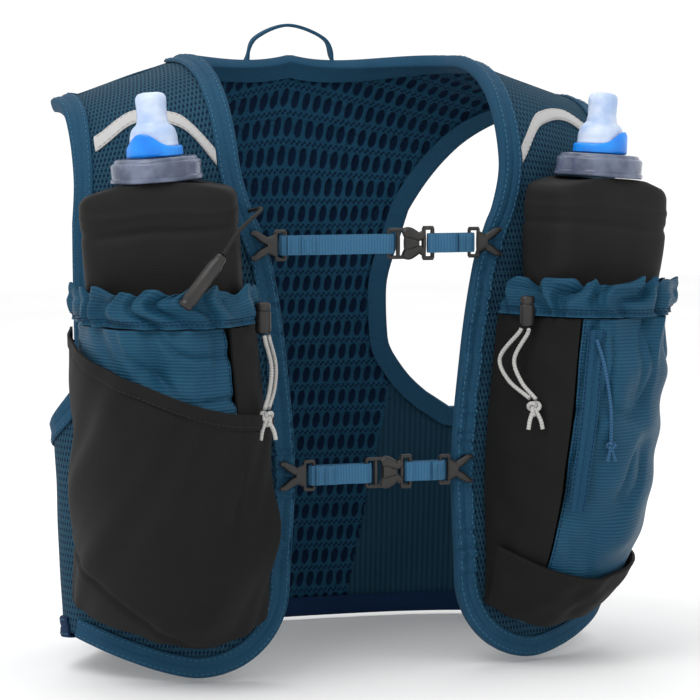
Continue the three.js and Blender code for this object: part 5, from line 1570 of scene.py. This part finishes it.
    def _hooks(self, rod: Callable) -> None:
        """A clip: a frame at the web and two hooks that spread from its neck."""
        self._loop(rod, -0.88, -0.38)
        rod([(-0.4, 0, 0.8, 0.8), (-0.15, 0, 0.62, 0.9), (0.1, 0, 0.5, 0.9)])
        for up in (-1, 1):
            rod([(-0.05, 0.18 * up, 0.24, 0.8), (0.35, 0.45 * up, 0.24, 0.8), (0.7, 0.74 * up, 0.20, 0.75),
                 (0.95, 0.80 * up, 0.12, 0.55)])

    def _ladder(self, rod: Callable) -> None:
        """A ladder lock: a frame with a middle bar, then the root of the buckle's prongs."""
        self._loop(rod, -0.86, 0.25)
        rod([(-0.3, -0.8, 0.12, 0.7), (-0.3, 0, 0.13, 0.8), (-0.3, 0.8, 0.12, 0.7)])
        rod([(0.25, 0, 0.8, 0.8), (0.6, 0, 0.75, 0.85), (0.98, 0, 0.6, 0.8)])

    def _bone(self, rod: Callable) -> None:
        """A buckle's socket: swollen at the prongs, waisted, then a frame for the web."""
        for up in (-1, 1):
            rod([(-0.98, 0.52 * up, 0.30, 0.7), (-0.7, 0.62 * up, 0.34, 0.9), (-0.35, 0.5 * up, 0.30, 0.95),
                 (0.0, 0.36 * up, 0.24, 0.9), (0.3, 0.5 * up, 0.24, 0.75)])
        rod([(-0.9, 0, 0.4, 0.8), (-0.6, 0, 0.4, 0.95), (-0.3, 0, 0.3, 0.9)])
        self._loop(rod, 0.32, 0.88)


@dataclass
class Cords:
    """Drawcords with their locks and knots, the whistle on its cord, and the zip's pull."""

    shop: Workshop
    pockets: Pockets
    panels: Panels
    thick: float = 0.0022
    pull_thick: float = 0.002
    gap: float = 0.00035
    draw_rows: tuple = ((0.96, 0.47, 0.006), (0.945, 0.46, 0.006), (0.86, 0.34, 0.0065),
                        (0.79, 0.42, 0.0055), (0.74, 0.58, 0.0046))
    draw_wide: tuple = (0.024, 0.032, 0.062, 0.052, 0.020)
    pull_rows: tuple = ((0.94, 1.03, 0.0032), (0.86, 1.12, 0.0034), (0.74, 1.22, 0.002), (0.62, 1.28, 0.0016))

    def rope(self, name: str, path: Array, thick: float, finish: Finish, slot: str, node: str,
             **free) -> None:
        """Args:
            name: The object's name.
            path: Its centre line.
            thick: Its diameter.
            finish: Its finish.
            slot: Name of a material slot, passed on to Workshop.finish.
            node: The CAD node that it replaces.
        """
        run = np.concatenate([[0], np.cumsum(np.linalg.norm(np.diff(path, axis=0), axis=-1))])
        parts = max(12, round(run[-1] / 0.0004 * self.shop.fineness))
        at = np.linspace(0, run[-1], parts)
        fine = np.stack([np.interp(at, run, path[:, i]) for i in range(3)], axis=-1)
        turn = np.linspace(0, 2 * math.pi, 14, endpoint=False)
        braid = np.cos(4 * turn[None, :] + at[:, None] * 2 * math.pi / 0.0032)
        other = np.cos(4 * turn[None, :] - at[:, None] * 2 * math.pi / 0.0032)
        radius = thick / 2 * (0.955 + 0.045 * np.maximum(braid, other))
        section = np.stack([radius * np.cos(turn), radius * np.sin(turn)], axis=-1)
        maker = MeshMaker()
        add_rod(maker, fine, section, (0.1, -0.2, 1))
        made = maker.build(name, [self.shop.palette[finish]])
        self.shop.finish(made, slot, node)
        tuple(map(float, path[0]))
        float(run[-1])

    def build(self) -> None:
        """Makes every cord, with what hangs on it."""
        apart = self.thick + self.gap
        for side in Side:
            knot, lock = self._knot(side), self._lock(side)
            for word, way in (("outer", 1), ("inner", -1)):
                points = [self.pockets.on(turn - way * wide, up, off + apart / 2 * (1 + way * 0.5))
                          for (up, turn, off), wide in zip(self.draw_rows, self.draw_wide)]
                path = side.placed(curve_through(points, 60))
                pieces = [knot, lock] if word == "outer" else []
                self.rope(f"draw_{word}_{side.word}", path, self.thick, Finish.CORD, "grey_cord",
                          f"drawcord_{word}_{side.word}", far_end="knot", stiffness="limp", lay="hanging",
                          with_pieces=pieces)
        self._whistle()
        points = [self.pockets.on(turn, up, off) for up, turn, off in self.pull_rows]
        path = curve_through(points, 80)
        self.rope("pull_cord", path, self.pull_thick, Finish.NAVY_CORD, "edge_tape", "zip_pull",
                  far_end="knot", stiffness="limp", lay="hanging", with_pieces=[self._pull_knot(path)])

    def _tangle(self, maker: MeshMaker, centre: Array, size: float, thick: float) -> None:
        """Adds an overhand knot: a trefoil of cord drawn tight."""
        t = np.linspace(0, 2 * math.pi, self.shop.count(110))
        x, y = np.sin(t) + 2 * np.sin(2 * t), np.cos(t) - 2 * np.cos(2 * t)
        path = centre + size * np.stack([x * 0.33, -np.sin(3 * t) * 0.42, y * 0.40], axis=-1)
        add_rod(maker, path, round_section(thick / 2, 12), (0.2, 1, 0.1))

    def _knot(self, side: Side):
        """The knot that joins a drawcord's strands, with its two tails."""
        up, turn, off = self.draw_rows[-1]
        last = self.pockets.on(turn, up, off + (self.thick + self.gap) / 2)
        centre = last + self.pockets.facing * self.thick / 2 - np.array([0, 0, 0.0046])
        maker = MeshMaker()
        self._tangle(maker, centre, 0.0031, self.thick * 0.95)
        for way in (1, -1):
            foot = centre + np.array([way * 0.004, -self.thick, -0.011])
            bend = lerp(centre, foot, 0.55) + np.array([way * 0.0007, -0.0004, 0])
            tail = curve_through([centre, bend, foot], 16)
            add_rod(maker, tail, round_section(self.thick / 2, 12), (0, -1, 0.1))
        for part in range(len(maker.points)):
            maker.points[part] = side.placed(maker.points[part])
            if side is Side.RIGHT:
                maker.faces[part] = maker.faces[part][:, ::-1]
        made = maker.build(f"draw_knot_{side.word}", [self.shop.palette[Finish.CORD]])
        self.shop.finish(made, "grey_cord", f"drawcord_knot_{side.word}")
        return made

    def _pull_knot(self, path: Array):
        """The knot and short tails at the foot of the zip's pull."""
        maker = MeshMaker()
        end = path[-1] + unit(path[-1] - path[-4]) * 0.0008
        self._tangle(maker, end, 0.0021, self.pull_thick * 0.9)
        for way in (1, -1):
            foot = end + np.array([way * 0.0022, -0.0006, -0.0075])
            add_rod(maker, curve_through([end, lerp(end, foot, 0.5), foot], 10),
                    round_section(self.pull_thick * 0.45, 10), (0, -1, 0.1))
        made = maker.build("pull_knot", [self.shop.palette[Finish.NAVY_CORD]])
        return made

    def _lock(self, side: Side):
        """A cord lock: a barrel with a sprung button on top."""
        low, high = (np.array(c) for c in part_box(f"cord_lock_{side.word}"))
        middle, tall, wide = (low + high) / 2, high[2] - low[2], (high[0] - low[0]) / 2
        rows = ((0, 0), (wide * 0.72, 0), (wide * 0.92, 0.0007), (wide, 0.002), (wide * 0.95, tall * 0.45),
                (wide, tall * 0.66), (wide * 0.95, tall * 0.70), (wide * 0.78, tall * 0.715),
                (wide * 0.76, tall * 0.74), (wide * 0.9, tall * 0.755), (wide * 0.93, tall * 0.93),
                (wide * 0.8, tall * 0.985), (wide * 0.5, tall), (0, tall))
        radius, height = (np.array(column)[:, None] for column in zip(*rows))
        grid = lathe(radius, height, self.shop.count(40))
        grid[..., 1] *= 0.86
        maker = MeshMaker()
        maker.add_grid(grid + np.array([middle[0], middle[1], low[2]]), cloth_coords(grid))
        made = maker.build(f"lock_{side.word}", [self.shop.palette[Finish.BLACK_PLASTIC]])
        made.modifiers.new("round", "SUBSURF").render_levels = 2
        self.shop.finish(made, "black_plastic", f"cord_lock_{side.word}")
        return made

    def _whistle(self) -> None:
        """A slim whistle that hangs from the right panel's edge."""
        form = self.shop.form
        seat = np.array([0, 0, form.seat])
        top = np.array([-0.103, -0.160, 0.223]) - seat
        down = unit(np.array([-0.62, 0.02, -0.8]))
        rows = ((0, 0.0004), (0.0021, 0.0004), (0.0028, 0.0012), (0.0030, 0.004), (0.0037, 0.0062),
                (0.0038, 0.0075), (0.0038, 0.0275), (0.0034, 0.0284), (0.0034, 0.0292), (0.0037, 0.0299),
                (0.0036, 0.0312), (0.0028, 0.0318), (0.0024, 0.0318), (0.0023, 0.030), (0, 0.030))
        radius, height = (np.array(column)[:, None] for column in zip(*rows))
        grid = lathe(radius, height, 48)
        first = unit(np.cross(down, [0, 1, 0]))
        second = np.cross(down, first)
        x, y, z = np.split(grid, 3, axis=-1)
        turned = x * first + np.maximum(y, -0.0031) * second + z * down
        maker = MeshMaker()
        maker.add_grid(turned + top, cloth_coords(grid))
        whistle = maker.build("whistle_body", [self.shop.palette[Finish.BLACK_PLASTIC]])
        self.shop.finish(whistle, "black_plastic", "whistle")
        level = np.array(0.247 / form.spring_height)
        angle = form.front_angle(self.panels.front_edge(level, 1), level)
        hang = mirrored(form.lifted(angle, level, np.array(0.0035 + 0.0007 + self.gap + self.pull_thick / 2)))
        bends = [top + np.array(step) for step in ((0.010, 0.004, 0.012), (0.029, 0.030, 0.021))]
        points = [top - down * 0.0007, *bends, hang]
        path = curve_through(points[::-1], 90)
        self.rope("whistle_string", path, self.pull_thick, Finish.BLACK_CORD, "black_cloth", "whistle_cord",
                  far_end="object", stiffness="limp", lay="hanging", with_pieces=[whistle])


@dataclass
class Trim:
    """Hang loop and reflective strips."""

    shop: Workshop
    panels: Panels

    def build(self) -> None:
        """Makes the trim."""
        form = self.shop.form
        low, high = (np.array(c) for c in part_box("hang_loop"))
        half, y, thick = (high[0] - low[0]) / 2, (low[1] + high[1]) / 2, 0.0018
        top = high[2] - thick / 2
        knee = form.lifted(form.back_angle(0.024, form.collar_level(0.024)), form.collar_level(0.024), 0.0070)
        foot = np.array([half - thick / 2, knee[1] - 0.001, low[2] + thick / 2])
        side = [foot, knee, (0.8 * knee[0], knee[1], lerp(knee[2], top, 0.62)), (0, y, top)]
        points = [*side, *[np.array(p) * (-1, 1, 1) for p in side[-2::-1]]]
        maker = MeshMaker()
        path = curve_through(points, self.shop.count(90))
        add_rod(maker, path, flat_section(0.005, thick, 24), (0, 0, 1))
        made = maker.build("loop_tape", [self.shop.palette[Finish.TAPE]])
        self.shop.finish(made, "edge_tape", "hang_loop")
        rows = ((0.13, 1.26), (0.35, 1.44), (0.6, 1.5), (0.88, 1.4))
        share = np.linspace(0.13, 0.88, self.shop.count(70))
        middle = smooth_table(rows, share)
        x = lerp(self.panels.front_edge(middle, 1), self.panels.front_edge(middle, 2), share)
        angle = form.front_angle(x, middle)
        up = unit(form.point(angle, middle + 0.001) - form.point(angle, middle))
        wide = 0.0082 * (1 + 0.04 * noise(share * 8, share, 71))
        for which in Side:
            outer, inner = [], []
            for k in np.linspace(-0.5, 0.5, 9):
                place = stepped(form, angle, middle, up * (k * wide)[:, None])
                edge = 0.0010 * (1 - 0.5 * abs(2 * k) ** 5)
                outer.append(form.lifted(*place, np.full(len(share), 0.0042 + edge)))
                inner.append(form.lifted(*place, np.full(len(share), 0.0041)))
            grids = [which.placed(np.stack(grid, axis=1)) for grid in (outer, inner)]
            maker = MeshMaker()
            maker.add_shell(*grids, cloth_coords(grids[0]))
            normal = which.placed(form.out(angle, middle))
            for k in (1, 7):
                add_stitches(maker, grids[0][:, k] + 0.00005 * normal, normal, finish=1)
            palette = self.shop.palette
            made = maker.build(f"strip_{which.word}", [palette[Finish.REFLECTIVE], palette[Finish.CORD]])
            self.shop.finish(made, "reflective", f"reflector_{which.word}")


@dataclass
class Studio:
    """Camera, soft lights, pale floor and white surround."""

    azimuth: float = math.radians(-19)
    elevation: float = math.radians(5)
    distance: float = 1.6
    target: tuple[float, float, float] = (0.0160, -0.0055, -0.1455)
    lens: float = 148.5
    floor: float = -0.3105

    def set_camera(self) -> None:
        """Places the photograph's camera."""
        a, e = self.azimuth, self.elevation
        away = Vector((math.sin(a) * math.cos(e), -math.cos(a) * math.cos(e), math.sin(e)))
        data = bpy.data.cameras.new("camera")
        data.lens, data.sensor_width = self.lens, 36
        camera = bpy.data.objects.new("camera", data)
        camera.location = Vector(self.target) + away * self.distance
        camera.rotation_euler = away.to_track_quat("Z", "Y").to_euler()
        bpy.context.scene.collection.objects.link(camera)
        bpy.context.scene.camera = camera

    def _light(self, name: str, azimuth: float, elevation: float, away: float, size: float,
               power: float) -> None:
        """Adds a soft square light that faces the vest."""
        a, e = math.radians(azimuth), math.radians(elevation)
        way = Vector((math.sin(a) * math.cos(e), -math.cos(a) * math.cos(e), math.sin(e)))
        data = bpy.data.lights.new(name, "AREA")
        data.size, data.energy = size, power
        lamp = bpy.data.objects.new(name, data)
        lamp.location = Vector(self.target) + way * away
        lamp.rotation_euler = way.to_track_quat("Z", "Y").to_euler()
        bpy.context.scene.collection.objects.link(lamp)

    def build(self) -> None:
        """Sets up the light and the floor."""
        world = bpy.data.worlds.new("surround")
        world.use_nodes = True
        sky = world.node_tree.nodes["Background"]
        sky.inputs[0].default_value = (1, 1, 1, 1)
        sky.inputs[1].default_value = 1.05
        bpy.context.scene.world = world
        bpy.context.scene.view_settings.view_transform = "Standard"
        self._light("key", -50, 45, 1.3, 0.7, 6)
        self._light("fill", 35, 20, 1.5, 1.0, 1.0)
        self._light("top", 170, 65, 1.4, 0.9, 3)
        maker = MeshMaker()
        side = np.linspace(-3, 3, 3)
        x, y = np.meshgrid(side, side)
        grid = np.stack([x, y, np.full(x.shape, self.floor)], axis=-1)
        maker.add_grid(grid, grid[..., :2])
        floor = maker.build("floor", [self._floor_paint()])

    @staticmethod
    def _floor_paint() -> bpy.types.Material:
        """Pale paper with a faint mottle."""
        material = bpy.data.materials.new("pale_paper")
        material.use_nodes = True
        s = NodeSheet(material.node_tree)
        shader = s.tree.nodes["Principled BSDF"]
        place = s.node("ShaderNodeTexCoord").outputs["Object"]
        colour = s.mix(s.noise(place, 4.0), (0.90, 0.90, 0.90, 1), (0.95, 0.95, 0.95, 1))
        s.tree.links.new(colour, shader.inputs["Base Color"])
        shader.inputs["Roughness"].default_value = 0.9
        return material


def main() -> None:
    """Builds the vest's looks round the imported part."""
    logging.basicConfig(level=logging.INFO)
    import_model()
    studio = Studio()
    studio.set_camera()
    form = WornForm()
    shop = Workshop(form, Palette(), 1.0)
    panels = Panels(shop)
    pockets = Pockets(shop, panels)
    Cords(shop, pockets, panels).build()
    panels.build()
    EdgeTapes(shop, panels).build()
    pockets.build()
    Flasks(shop).build()
    Straps(shop).build()
    Trim(shop, panels).build()
    studio.build()


if __name__ == "__main__":
    main()
